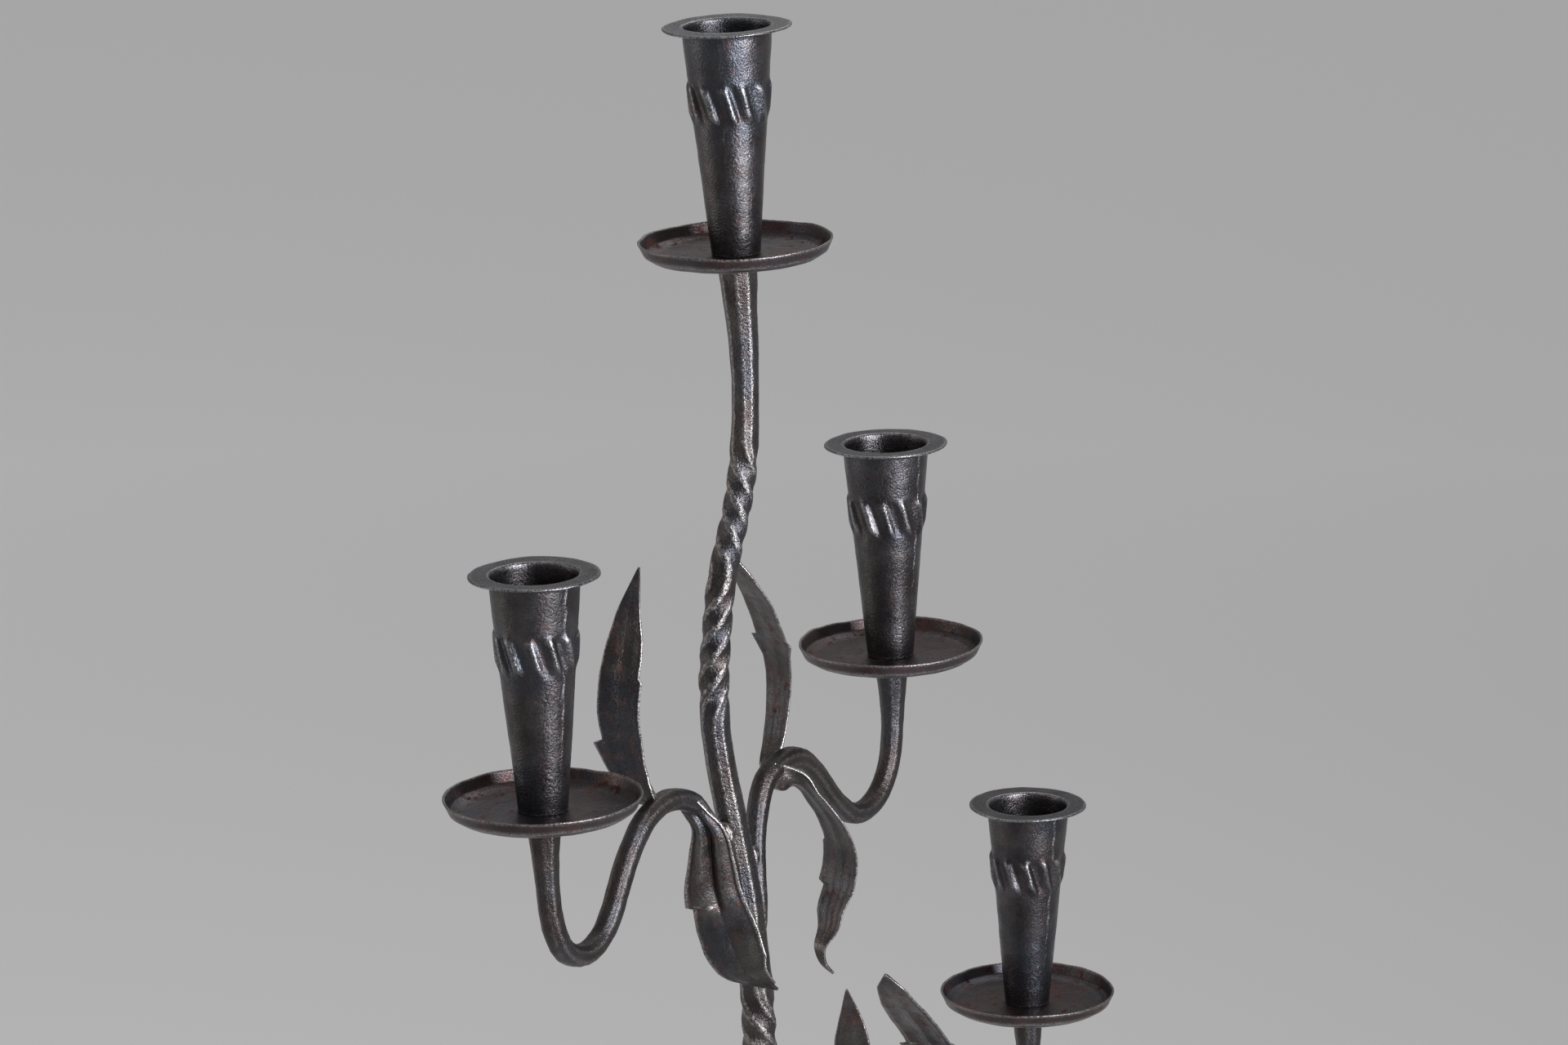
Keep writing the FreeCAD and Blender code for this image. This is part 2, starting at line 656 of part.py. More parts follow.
# Sheet-metal pieces turned about their own axis

def origin_plane(body, role):
    return next(f for f in body.Origin.OriginFeatures if f.Role == role)


def shoulder_texts(name):
    """The x, y and z of a bar's shoulder as expressions of the sheet's sizes."""
    if name == "top":
        way = Rotation(UP, SWAY_ANGLE).multVec(OUT) * SWAY_SHARES[-1][1]
        return "Sizes.stem_sway * " + plain(way.x), "Sizes.stem_sway * " + plain(way.y), "Sizes.stem_height"
    side, tier = ARMS[name][:2]
    return "Sizes." + tier + "_reach * " + plain(side), "0", "Sizes." + tier + "_height"


def plain(number):
    return format(number, ".6f")


def turned_body(label, light, lift, outline):
    """A solid of revolution whose outline corners are pairs of size expressions.

    It sits on a light's shoulder, raised along the light's lean by the lift.
    """
    body = doc.addObject("PartDesign::Body", label)
    body.Label = label
    sketch = body.newObject("Sketcher::SketchObject", label + "_outline")
    sketch.AttachmentSupport = [(origin_plane(body, "XZ_Plane"), "")]
    sketch.MapMode = "FlatFace"
    corners = [
        Vector(float(sheet.evalExpression(r)), float(sheet.evalExpression(z)), 0)
        for r, z in outline
    ]
    count = len(corners)
    for i, corner in enumerate(corners):
        sketch.addGeometry(Part.LineSegment(corner, corners[(i + 1) % count]), False)
    for i in range(count):
        sketch.addConstraint(Sketcher.Constraint("Coincident", i, 2, (i + 1) % count, 1))
    for i, (r, z) in enumerate(outline):
        for kind, text, axis in (("DistanceX", r, -2), ("DistanceY", z, -1)):
            if text == "0":
                sketch.addConstraint(Sketcher.Constraint("PointOnObject", i, 1, axis))
                continue
            value = corners[i].x if kind == "DistanceX" else corners[i].y
            number = sketch.addConstraint(Sketcher.Constraint(kind, -1, 1, i, 1, value))
            sketch.setExpression("Constraints[" + str(number) + "]", text)
    doc.recompute()
    turn = body.newObject("PartDesign::Revolution", label + "_turned")
    turn.Profile = sketch
    turn.ReferenceAxis = (sketch, ["V_Axis"])
    turn.Angle = FULL_TURN
    body.Placement = light_place(light)
    rise = body.Placement.Rotation.multVec(UP)
    for axis, text, share in zip("xyz", shoulder_texts(light), rise):
        body.setExpression("Placement.Base." + axis, text + " + " + lift + " * " + plain(share))
    doc.recompute()
    return body


HOLE_RADIUS = "(Sizes.tenon_diameter / 2 + Sizes.tenon_clearance)"


def shrunk(diameter, share):
    """Half a diameter, drawn in by a share of the pan's sheet."""
    return "Sizes." + diameter + " / 2 - Sizes.pan_sheet * " + str(share)


def make_pan(name):
    rim_share, bend_share, bend_lift_share, floor_share = PAN_INNER_SHARES
    outline = (
        (HOLE_RADIUS, "0"),
        ("Sizes.pan_floor_diameter / 2", "0"),
        ("Sizes.pan_bend_diameter / 2", "Sizes.pan_bend_height"),
        ("Sizes.pan_rim_diameter / 2", "Sizes.pan_depth"),
        (shrunk("pan_rim_diameter", rim_share), "Sizes.pan_depth"),
        (
            shrunk("pan_bend_diameter", bend_share),
            "Sizes.pan_bend_height + Sizes.pan_sheet * " + str(bend_lift_share),
        ),
        (shrunk("pan_floor_diameter", floor_share), "Sizes.pan_sheet"),
        (HOLE_RADIUS, "Sizes.pan_sheet"),
    )
    return turned_body("pan_" + name, name, "0", outline)


def make_disc(name):
    inner_foot = "Sizes.cup_foot_diameter / 2 - Sizes.cup_sheet - Sizes.disc_clearance"
    outline = (
        (HOLE_RADIUS, "0"),
        (inner_foot, "0"),
        (inner_foot, "Sizes.disc_thickness"),
        (HOLE_RADIUS, "Sizes.disc_thickness"),
    )
    return turned_body("cup_disc_" + name, name, "Sizes.pan_sheet", outline)


def make_cup(name):
    mouth = "Sizes.cup_mouth_diameter / 2"
    foot = "Sizes.cup_foot_diameter / 2"
    brim = "Sizes.brim_diameter / 2"
    top = "Sizes.cup_height * " + str(LIGHTS[name][1])
    under_brim = top + " - Sizes.cup_sheet"
    outline = (
        (foot, "0"),
        (mouth, under_brim),
        (brim, under_brim),
        (brim, top),
        (mouth + " - Sizes.cup_sheet + Sizes.brim_lip", top),
        (mouth + " - Sizes.cup_sheet", top + " - Sizes.brim_lip"),
        (foot + " - Sizes.cup_sheet", "0"),
    )
    body = turned_body("cup_" + name, name, "Sizes.pan_sheet", outline)
    plain_volume = body.Shape.Volume
    height = size("cup_height") * LIGHTS[name][1]
    taper = (size("cup_mouth_diameter") - size("cup_foot_diameter")) / 2 / height
    pleat_z = height - size("pleat_drop")
    wall = size("cup_foot_diameter") / 2 + pleat_z * taper
    sink = size("cup_sheet") * PLEAT_ROOT_SHARE
    inset = " - Sizes.pleat_width * " + str((1 - PLEAT_CREST_SHARE) / 2)
    pleat = body.newObject("PartDesign::AdditiveWedge", "cup_" + name + "_pleat")
    pleat.Ymin = 0
    for axis, whole in (("X", "pleat_width"), ("Z", "pleat_length")):
        half = "Sizes." + whole + " / 2"
        for number, reach in (("", half), ("2", half + inset)):
            pleat.setExpression(axis + number + "max", reach)
            pleat.setExpression(axis + number + "min", "-(" + reach + ")")
    height_text = "Sizes.pleat_height + Sizes.cup_sheet * " + str(PLEAT_ROOT_SHARE)
    pleat.setExpression("Ymax", height_text)
    # The wedge grows along its own Y axis. It is turned to grow outwards, slanted, and
    # laid back against the slope of the wall
    facing = Rotation(UP, -QUARTER_TURN)
    slant = Rotation(OUT, PLEAT_SLANT)
    tilt = Rotation(BACK, math.degrees(math.atan(taper)))
    seat = OUT * (wall - sink) + UP * pleat_z
    pleat.AttachmentSupport = [(origin_plane(body, "XY_Plane"), "")]
    pleat.MapMode = "FlatFace"
    pleat.AttachmentOffset = Placement(seat, tilt.multiply(slant).multiply(facing))
    doc.recompute()
    ring = body.newObject("PartDesign::PolarPattern", "cup_" + name + "_pleats")
    ring.Originals = [pleat]
    ring.Axis = (origin_plane(body, "Z_Axis"), [""])
    ring.Angle = FULL_TURN
    ring.Occurrences = PLEAT_COUNT
    body.Tip = ring
    doc.recompute()
    print("pleats add", round(body.Shape.Volume - plain_volume), "mm3 to", body.Label)
    return body


# Building the whole stand

def add_shape(label, shape, place=Placement()):
    feature = doc.addObject("Part::Feature", label)
    feature.Label = label
    solids = shape.Solids
    feature.Shape = solids[0] if len(solids) == 1 else Part.makeCompound(solids)
    feature.Placement = place
    return feature


nodes = []
stem_shape = make_stem()
nodes.append(add_shape("stem", stem_shape))

arm_shapes = {}
for arm_name in ARMS:
    arm_shapes[arm_name] = make_arm(arm_name, stem_shape)
    nodes.append(add_shape("arm_" + arm_name, arm_shapes[arm_name]))
    weld = make_weld(arm_name, arm_shapes[arm_name], stem_shape)
    nodes.append(add_shape("weld_" + arm_name, weld))

for leaf_name in LEAVES:
    leaf_arm = arm_shapes[LEAVES[leaf_name][0]]
    nodes.append(add_shape(leaf_name, make_leaf(leaf_name, leaf_arm)))

leg_shapes = []
for leg_name, leg_angle in zip(("leg_front", "leg_back_right", "leg_back_left"), LEG_ANGLES):
    leg_shape = make_leg(leg_angle, stem_shape)
    nodes.append(add_shape(leg_name, leg_shape, Placement(Vector(), Rotation(UP, leg_angle))))
    leg_shapes.append(nodes[-1].Shape)
nodes.append(add_shape("weld_base", make_base_weld(leg_shapes, stem_shape)))

for light in LIGHTS:
    nodes.append(make_pan(light))
    nodes.append(make_disc(light))
    nodes.append(make_cup(light))

doc.recompute()
for thing in doc.Objects:
    if "Invalid" in thing.State or "Error" in thing.State:
        raise RuntimeError(thing.Label + " failed: " + str(thing.State))
for node in nodes:
    if node.Shape.isNull() or not node.Shape.isValid() or not node.Shape.Solids:
        raise RuntimeError(node.Label + " has no valid solid")
    print(node.Label, "solids", len(node.Shape.Solids), "volume", round(node.Shape.Volume))

os.makedirs("parts", exist_ok=True)
for node in nodes:
    node.Shape.exportStep("parts/" + node.Label + ".step")
print("wrote", len(nodes), "nodes")
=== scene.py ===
# %% [markdown]
# A hand-forged floor stand for five candles, dressed in Blender
#
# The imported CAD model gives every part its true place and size. This lesson puts the
# smith's hand back into it: hammer marks on the bars, pleats and seams in the sheet
# cups, wavy pan rims, ribs in the leaves, and blackened iron that shines where hands
# and cloths have rubbed it. The first cell loads the frame.

# %% Load the frame
import json
import math

import bmesh
import bpy
import numpy as np
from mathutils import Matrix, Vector


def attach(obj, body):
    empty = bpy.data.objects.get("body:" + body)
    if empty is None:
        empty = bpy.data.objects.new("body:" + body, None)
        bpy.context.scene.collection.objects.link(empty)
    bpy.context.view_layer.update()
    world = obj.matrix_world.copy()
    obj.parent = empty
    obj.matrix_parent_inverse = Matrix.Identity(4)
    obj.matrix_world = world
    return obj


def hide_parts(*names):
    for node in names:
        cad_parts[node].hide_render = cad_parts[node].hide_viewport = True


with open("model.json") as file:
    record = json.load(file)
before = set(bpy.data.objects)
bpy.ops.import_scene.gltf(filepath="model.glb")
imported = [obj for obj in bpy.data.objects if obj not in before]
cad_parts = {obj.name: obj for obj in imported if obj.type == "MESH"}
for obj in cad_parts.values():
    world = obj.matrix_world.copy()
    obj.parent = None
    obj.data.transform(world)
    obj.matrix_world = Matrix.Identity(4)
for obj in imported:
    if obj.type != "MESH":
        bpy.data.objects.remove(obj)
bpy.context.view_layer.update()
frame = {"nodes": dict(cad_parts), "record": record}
print("nodes:", len(frame["nodes"]))

# %% [markdown]
# The stand's sizes are written in millimetres, as a smith would give them, and are
# turned to Blender's metres by one factor. The studio's are in metres.

# %% Units
MM = 0.001
print("one millimetre is", MM, "m")

# %% [markdown]
# Forged iron is never even. Lumps of one size come from the hammer's face, smaller
# ones from scale that was beaten in. Both are a smooth random field: a cube of random
# numbers, read between its points. The seed is fixed, so each run gives the same stand.

# %% Random lumps
CELLS = 48
PAST_ZERO = 100.0


def lumps(points, spacing, seed):
    """A smooth random height from -1 to 1 at each point, with lumps this far apart."""
    field = np.random.default_rng(seed).uniform(-1, 1, (CELLS, CELLS, CELLS))
    place = points / (spacing * MM) + PAST_ZERO
    low = np.floor(place).astype(int)
    part = place - low
    part = part * part * (3 - 2 * part)
    total = np.zeros(len(points))
    for corner in np.ndindex(2, 2, 2):
        weight = np.prod(np.where(corner, part, 1 - part), axis=1)
        x, y, z = ((low + corner) % CELLS).T
        total += weight * field[x, y, z]
    return total


print("sample heights:", lumps(np.array([[0, 0, 0], [0.01, 0, 0]]), 9, 1).round(2))

# %% [markdown]
# Blender hands over a mesh's points quickly when they are read as one long array.
# These helpers read them, average each point with its neighbours, and put them back.

# %% Points of a mesh
def mesh_arrays(mesh):
    """The mesh's points, its edges, and how many edges meet at each point."""
    points = np.zeros(len(mesh.vertices) * 3)
    mesh.vertices.foreach_get("co", points)
    edges = np.zeros(len(mesh.edges) * 2, int)
    mesh.edges.foreach_get("vertices", edges)
    edges = edges.reshape(-1, 2)
    counts = np.maximum(np.bincount(edges.ravel(), minlength=len(mesh.vertices)), 1)
    return points.reshape(-1, 3), edges, counts


def neighbour_average(points, edges, counts):
    total = np.zeros_like(points)
    for a, b in ((0, 1), (1, 0)):
        for axis in range(3):
            total[:, axis] += np.bincount(edges[:, a], points[edges[:, b], axis], len(points))
    return total / counts[:, None]


def smoothed(points, edges, counts, share, times):
    """The points, drawn this share of the way to their neighbours this many times."""
    for _ in range(times):
        points = (1 - share) * points + share * neighbour_average(points, edges, counts)
    return points


def normals_of(mesh):
    normals = np.zeros(len(mesh.vertices) * 3, np.float32)
    mesh.vertex_normals.foreach_get("vector", normals)
    return normals.reshape(-1, 3).astype(float)


def place_points(mesh, points):
    mesh.vertices.foreach_set("co", points.ravel())
    mesh.update()


print("a mesh's points can be read, smoothed and put back")

# %% [markdown]
# Edges of forged work are rubbed bright while its hollows stay black. So each mesh
# gets a "worn" value at every point: how far the point stands out from the average of
# its neighbourhood. The materials read it.

# %% Worn edges
WORN_SHARE = 0.7


def mark_worn(mesh, reach, full):
    """Writes the worn value: 0.5 on flat metal, 1 on an edge, 0 in a hollow.

    The neighbourhood is this many edges wide, and a point that stands out by the full
    height in mm, or more, is an edge.
    """
    points, edges, counts = mesh_arrays(mesh)
    smooth = smoothed(points, edges, counts, WORN_SHARE, reach)
    out = np.sum((points - smooth) * normals_of(mesh), axis=1)
    worn = np.clip(0.5 + out / (2 * full * MM), 0, 1)
    layer = mesh.attributes.new("worn", "FLOAT", "POINT")
    layer.data.foreach_set("value", worn.astype(np.float32))


print("flat metal is marked 0.5")

# %% [markdown]
# Blackened iron is mild steel that was heated, brushed and rubbed with oil or wax
# while hot. A thin dark skin of oxide stays on it. Colours are given as sRGB hex and
# turned to linear by one function, and one function adds any node with its settings
# and links.

# %% Colour and node helpers
# Numbers of the Mix node's two colours, and of its mixed colour
COLOUR_A = 6
COLOUR_B = 7
MIXED = 2


def linear(code):
    """An sRGB hex colour as linear red, green, blue and alpha."""
    parts = [int(code[i:i + 2], 16) / 255 for i in (1, 3, 5)]
    return tuple(c / 12.92 if c <= 0.04045 else ((c + 0.055) / 1.055) ** 2.4 for c in parts) + (1.0,)


def add_node(tree, kind, values=None, links=None, **settings):
    """A shader node with its settings, its fixed values and its links."""
    node = tree.nodes.new("ShaderNode" + kind)
    for key, value in settings.items():
        setattr(node, key, value)
    for key, value in (values or {}).items():
        node.inputs[key].default_value = value
    for key, socket in (links or {}).items():
        tree.links.new(socket, node.inputs[key])
    return node


print("charcoal:", [round(c, 3) for c in linear("#3a3535")])

# %% [markdown]
# Five random patterns make the skin. Four are sized from the real thing: patches where
# the oxide is thinner, clouds of blue temper colour, rust blooms, and the orange peel
# that hammer and scale leave. The fifth is grit. Real grit is too fine for a picture
# of the whole stand, so it is drawn coarser.

# %% Patterns in the skin
# Distance between lumps in mm, detail, roughness
PATTERNS = {
    "patches": (16.0, 4.0, 0.55),
    "temper": (34.0, 2.0, 0.50),
    "rust": (7.0, 5.0, 0.65),
    "peel": (1.15, 3.0, 0.55),
    "grit": (0.45, 2.0, 0.55),
}


def skin_patterns(tree):
    coords = add_node(tree, "TexCoord").outputs["Object"]
    patterns = {"worn": add_node(tree, "Attribute", attribute_name="worn").outputs["Fac"]}
    for name, (spacing, detail, roughness) in PATTERNS.items():
        values = {"Scale": 1 / (spacing * MM), "Detail": detail, "Roughness": roughness}
        patterns[name] = add_node(tree, "TexNoise", values, {"Vector": coords}).outputs["Fac"]
    return patterns


print("patterns:", list(PATTERNS))

# %% [markdown]
# Each pattern is then turned into a share from 0 to 1 of how much of something shows
# there. Rust keeps to the hollows, and edges are rubbed bright where the peel stands up.

# %% Shares of the skin
# Pattern, the two values it is read between, the shares it gives there
SHARES = {
    "thin": ("patches", 0.38, 0.66, 0.0, 1.0),
    "blue": ("temper", 0.46, 0.62, 0.0, 0.45),
    "blooms": ("rust", 0.50, 0.70, 0.0, 1.0),
    "hollows": ("worn", 0.35, 0.75, 1.0, 0.25),
    "edges": ("worn", 0.62, 0.95, 0.0, 1.0),
    "peaks": ("peel", 0.35, 0.60, 0.15, 0.9),
    "speck": ("grit", 0.35, 0.70, 0.7, 1.35),
    "satin": ("peel", 0.30, 0.70, -0.08, 0.12),
}
PRODUCTS = {"rust": ("blooms", "hollows"), "rubbed": ("edges", "peaks")}


def skin_shares(tree):
    patterns = skin_patterns(tree)
    shares = {"peel": patterns["peel"], "grit": patterns["grit"]}
    for name, (pattern, low, high, at_low, at_high) in SHARES.items():
        values = {"From Min": low, "From Max": high, "To Min": at_low, "To Max": at_high}
        shares[name] = add_node(tree, "MapRange", values, {"Value": patterns[pattern]}).outputs["Result"]
    for name, (first, second) in PRODUCTS.items():
        links = {0: shares[first], 1: shares[second]}
        shares[name] = add_node(tree, "Math", None, links, operation="MULTIPLY").outputs[0]
    return shares


print("shares:", list(SHARES) + list(PRODUCTS))

# %% [markdown]
# The material lays these over each other, from the dark skin up to the bare steel of
# the edges. The grit makes each colour a little darker or lighter from grain to grain.

# %% Skin colour
BLUE = "#383f48"


def skin_colour(tree, shares, rusted, dark, thin, rust, bare):
    """The skin's colours laid over each other, with dark and light specks of grit."""
    values = {COLOUR_A: linear(dark), COLOUR_B: linear(thin)}
    skin = add_node(tree, "Mix", values, {"Factor": shares["thin"]}, data_type="RGBA")
    for share, code in ((shares["blue"], BLUE), (rusted, rust), (shares["rubbed"], bare)):
        links = {"Factor": share, COLOUR_A: skin.outputs[MIXED]}
        skin = add_node(tree, "Mix", {COLOUR_B: linear(code)}, links, data_type="RGBA")
    links = {"Vector": skin.outputs[MIXED], "Scale": shares["speck"]}
    return add_node(tree, "VectorMath", None, links, operation="SCALE").outputs[0]


print("temper blue:", BLUE)

# %% [markdown]
# Two bumps, one on the other, make the highlights sparkle as hammered iron does. Rust
# is duller than the oxide skin, and the peel is a little glossier where it lies low.
# The skin is a metal, so its IOR stays at the default.

# %% Blackened iron
SKIN_METAL = 0.9
GRIT_DEPTH = 0.08
GRIT_STRENGTH = 0.8
PEEL_STRENGTH = 0.9


def blackened_iron(name, dark, thin, rust, bare, rusty, shine, peel):
    material = bpy.data.materials.new(name)
    material.use_nodes = True
    tree = material.node_tree
    shader = tree.nodes["Principled BSDF"]
    shares = skin_shares(tree)
    rusted = add_node(tree, "Math", {1: rusty}, {0: shares["rust"]}, operation="MULTIPLY").outputs[0]
    colour = skin_colour(tree, shares, rusted, dark, thin, rust, bare)
    tree.links.new(colour, shader.inputs["Base Color"])
    satin = add_node(tree, "Math", {1: shine}, {0: shares["satin"]}, operation="ADD").outputs[0]
    links = {0: rusted, 1: rusted, 2: satin}
    duller = add_node(tree, "Math", None, links, operation="MULTIPLY_ADD")
    tree.links.new(duller.outputs[0], shader.inputs["Roughness"])
    shader.inputs["Metallic"].default_value = SKIN_METAL
    values = {"Strength": GRIT_STRENGTH, "Distance": GRIT_DEPTH * MM}
    grit = add_node(tree, "Bump", values, {"Height": shares["grit"]})
    values = {"Strength": PEEL_STRENGTH, "Distance": peel * MM}
    links = {"Height": shares["peel"], "Normal": grit.outputs[0]}
    lumpy = add_node(tree, "Bump", values, links)
    tree.links.new(lumpy.outputs[0], shader.inputs["Normal"])
    return material


print("grit is", GRIT_DEPTH, "mm deep")

# %% [markdown]
# All of the stand is one blackened iron, but each kind of stock shows it differently:
# the stem, the duller bars, the sheet of cups, pans and leaves, and the weld beads.
# The table names each one's slot of the same metal in the CAD model, which is not used here.

# %% The six irons
# Slot, dark skin, thin skin, rust, bare steel, rust's share, roughness, depth of the peel in mm
IRONS = {
    # Handled most: worn to grey along its edges, with sharp glints
    "rubbed_bar": ("forged_bar", "#363131", "#4c4846", "#412c26", "#8c8886", 0.40, 0.32, 0.60),
    # Hardly handled: a dull brown-black with soft edges
    "wrought_bar": ("forged_bar", "#332e2d", "#413c3a", "#402a24", "#5c5653", 0.50, 0.40, 0.50),
    # Rolled smooth: a long soft highlight, cooler than the bars
    "sheet_cup": ("cup_sheet", "#343132", "#494748", "#48302a", "#848385", 0.45, 0.30, 0.32),
    # Water and wax stand in it: red-brown blooms on a dark floor
    "sheet_pan": ("pan_sheet", "#3a3333", "#483e3d", "#4f2f2a", "#837d7c", 1.10, 0.36, 0.26),
    # Thin and quickly heated: greyer and patchier than the rest, and its skin is also made lighter as
    # painted light, for the light that the leaves catch
    "sheet_leaf_with_painted_light": ("leaf_sheet", "#3d3938", "#534f4e", "#52342c", "#95908f", 0.85, 0.33, 0.30),
    # Melted and left rough: lumpy, with bright beads
    "weld_bead": ("weld_metal", "#3a3433", "#524b48", "#46302a", "#8c8783", 0.50, 0.32, 0.50),
}
MATERIALS = {name: blackened_iron("blackened_iron_" + name, *facts[1:]) for name, facts in IRONS.items()}
print("materials:", [material.name for material in MATERIALS.values()])

# %% [markdown]
# Every finished piece is put into the scene the same way: it rides on the one rigid
# body, takes its iron's material, and hides the CAD nodes that it stands for.

# %% Finishing a piece
def finish_piece(mesh, name, iron, *nodes):
    mesh.shade_smooth()
    mesh.materials.clear()
    mesh.materials.append(MATERIALS[iron])
    piece = bpy.data.objects.new(name, mesh)
    bpy.context.scene.collection.objects.link(piece)
    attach(piece, "root")
    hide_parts(*nodes)
    return piece


# %% [markdown]
# The stem was twisted hot, first one way and then back, at two heights. The CAD twist
# starts and turns back at once. The smith's begins slowly, runs a little further up and
# down, and its faces swell between the crests. So the stem's points are turned about its
# middle line by the difference between the two, and drawn nearer to a round. The middle
# line is the average of the points in thin slices of the stem.

# %% The two reverse twists
# The stem's height without its tenon and its full twist are the CAD model's own
STEM_HEIGHT = 1134.6
TWIST_ANGLE = 405.0
# Share of the stem's height, share of the full twist: in the CAD model, and by hand
CAD_TWIST_SHARES = ((0.555, 0), (0.608, 1), (0.661, 0), (0.805, 0), (0.858, 1), (0.911, 0))
HAND_TWIST_SHARES = (
    (0.5555, 0), (0.608, 1), (0.6605, 0), (0.8005, 0), (0.859, 1), (0.9125, 0),
)
# Share of the stem's height, and how far the faces have swelled towards a round
SWELLING_SHARES = (
    (0.550, 0), (0.565, 0.36), (0.651, 0.36), (0.666, 0),
    (0.800, 0), (0.815, 0.36), (0.901, 0.36), (0.916, 0),
)


def table(rows, place):
    """The second column of a table, read at places along its first."""
    return np.interp(place, [row[0] for row in rows], [row[1] for row in rows])


print("full twist:", TWIST_ANGLE, "degrees")

# %% [markdown]
# A corner in the table of the twist would show as a kink in the bar. So the twist at
# each point is the average of the table over some millimetres above and below it.

# %% Turning the stem by hand
TWIST_EASE = 9.0
EASE_SAMPLES = 9
SLICE = 3.0
THINNEST = 0.1


def slice_average(height, values):
    """The average of the values in each slice of the stem, read at every point."""
    slices = np.round(height / SLICE).astype(int)
    counts = np.bincount(slices)
    sums = np.bincount(slices, values)
    return np.interp(height, np.flatnonzero(counts) * SLICE, sums[counts > 0] / counts[counts > 0])


def twist_by_hand(points):
    """The stem's points, with its twists begun and turned back slowly."""
    height = points[:, 2] / MM
    centre = np.stack([slice_average(height, points[:, k]) for k in (0, 1)], axis=1)
    off = points[:, :2] - centre
    spread = np.linspace(-TWIST_EASE, TWIST_EASE, EASE_SAMPLES)
    places = [(height + step) / STEM_HEIGHT for step in spread]
    eased = np.mean([table(HAND_TWIST_SHARES, place) for place in places], axis=0)
    turn = np.radians(TWIST_ANGLE * (eased - table(CAD_TWIST_SHARES, height / STEM_HEIGHT)))
    radius = np.maximum(np.linalg.norm(off, axis=1), THINNEST * MM)
    swelling = table(SWELLING_SHARES, height / STEM_HEIGHT)
    scale = 1 + swelling * (slice_average(height, radius) / radius - 1)
    x = off[:, 0] * np.cos(turn) - off[:, 1] * np.sin(turn)
    y = off[:, 0] * np.sin(turn) + off[:, 1] * np.cos(turn)
    return np.column_stack([centre[:, 0] + x * scale, centre[:, 1] + y * scale, points[:, 2]])


print("the twist is eased over", 2 * TWIST_EASE, "mm")

# %% [markdown]
# Bars, legs and welds were forged from the solid. The CAD node already has the right
# bend, so it is remeshed into small even cells, which can be dented, and the cells are
# drawn back onto its faces, which takes the remesher's steps away again.

# %% Even cells on a bar
MERGE = 0.01


def even_cells(node, cell):
    """A mesh of even cells, this many mm wide, on the faces of a CAD node."""
    source = frame["nodes"][node]
    shell = bmesh.new()
    shell.from_mesh(source.data)
    bmesh.ops.remove_doubles(shell, verts=shell.verts, dist=MERGE * MM)
    blank = bpy.data.meshes.new(node + "_blank")
    shell.to_mesh(blank)
    shell.free()
    holder = bpy.data.objects.new(node + "_blank", blank)
    bpy.context.scene.collection.objects.link(holder)
    remesh = holder.modifiers.new("cells", "REMESH")
    remesh.mode = "VOXEL"
    remesh.voxel_size = cell * MM
    wrap = holder.modifiers.new("true", "SHRINKWRAP")
    wrap.target = source
    ready = holder.evaluated_get(bpy.context.evaluated_depsgraph_get())
    mesh = bpy.data.meshes.new_from_object(ready)
    bpy.data.objects.remove(holder)
    return mesh


print("CAD faces of the stem:", len(frame["nodes"]["stem"].data.polygons))

# %% [markdown]
# The hammer leaves broad shallow flats. They are large lumps cut off above and below,
# with smaller lumps between them where its edge struck and where scale was beaten in.

# %% Forging a bar
EASING_SHARE = 0.6
FLAT_SPACING = 11
FLAT_LOW = -0.5
FLAT_HIGH = 0.35
# Distance between lumps and their height, in mm
EDGE_MARKS = (4.5, 0.10)
SCALE_MARKS = (1.8, 0.03)


def hammered(points, dent, seed):
    """How far the hammer has moved each point, in mm."""
    height = dent * np.clip(lumps(points, FLAT_SPACING, seed), FLAT_LOW, FLAT_HIGH)
    for number, (spacing, depth) in enumerate((EDGE_MARKS, SCALE_MARKS), 1):
        height = height + depth * lumps(points, spacing, seed + number)
    return height


def forged(node, iron, cell, easing, dent, seed):
    mesh = even_cells(node, cell)
    points, edges, counts = mesh_arrays(mesh)
    if node == "stem":
        points = twist_by_hand(points)
    points = smoothed(points, edges, counts, EASING_SHARE, easing)
    place_points(mesh, points)
    move = hammered(points, dent, seed) * MM
    place_points(mesh, points + normals_of(mesh) * move[:, None])
    mark_worn(mesh, reach=8, full=0.2)
    piece = finish_piece(mesh, node + "_forged", iron, node)
    print(piece.name, len(mesh.polygons), "cells")


print("flats are", FLAT_SPACING, "mm apart")

# %% [markdown]
# The stem, the upper arms and their welds are seen closest, so they get the smallest
# cells.

# %% Stem, arms, welds and legs
for number, node in enumerate(sorted(frame["nodes"])):
    upper = "upper" in node
    if node == "stem":
        forged(node, "rubbed_bar", cell=0.7, easing=2, dent=0.3, seed=11)
    elif node.startswith("arm"):
        forged(node, "wrought_bar", cell=0.7 if upper else 0.8, easing=3, dent=0.34, seed=20 + number)
    elif node.startswith("weld"):
        forged(node, "weld_bead", cell=0.6 if upper else 1.0, easing=2, dent=0.6, seed=60 + number)
    elif node.startswith("leg"):
        forged(node, "wrought_bar", cell=1.1, easing=3, dent=0.4, seed=80 + number)

# %% [markdown]
# A cup or a pan is turned round its own leaning axis: a profile of radius and height,
# swept round in small steps. The smith's hand comes in as a change of the radius and
# the height at each point, which each kind of piece gives by a function.

# %% Turning sheet round an axis
AROUND = 320
DISC_TOP = 1.6
PROFILE_STEP = 0.8
mounts = {mount["name"]: mount for mount in frame["record"]["mounts"]}


def filled_profile(corners):
    """The profile's corners with points between them, at most one step apart."""
    line = []
    for (r0, z0), (r1, z1) in zip(corners, corners[1:]):
        count = max(1, math.ceil(math.hypot(r1 - r0, z1 - z0) / PROFILE_STEP))
        line += [(r0 + (r1 - r0) * i / count, z0 + (z1 - z0) * i / count) for i in range(count)]
    return np.array(line + [corners[-1]])


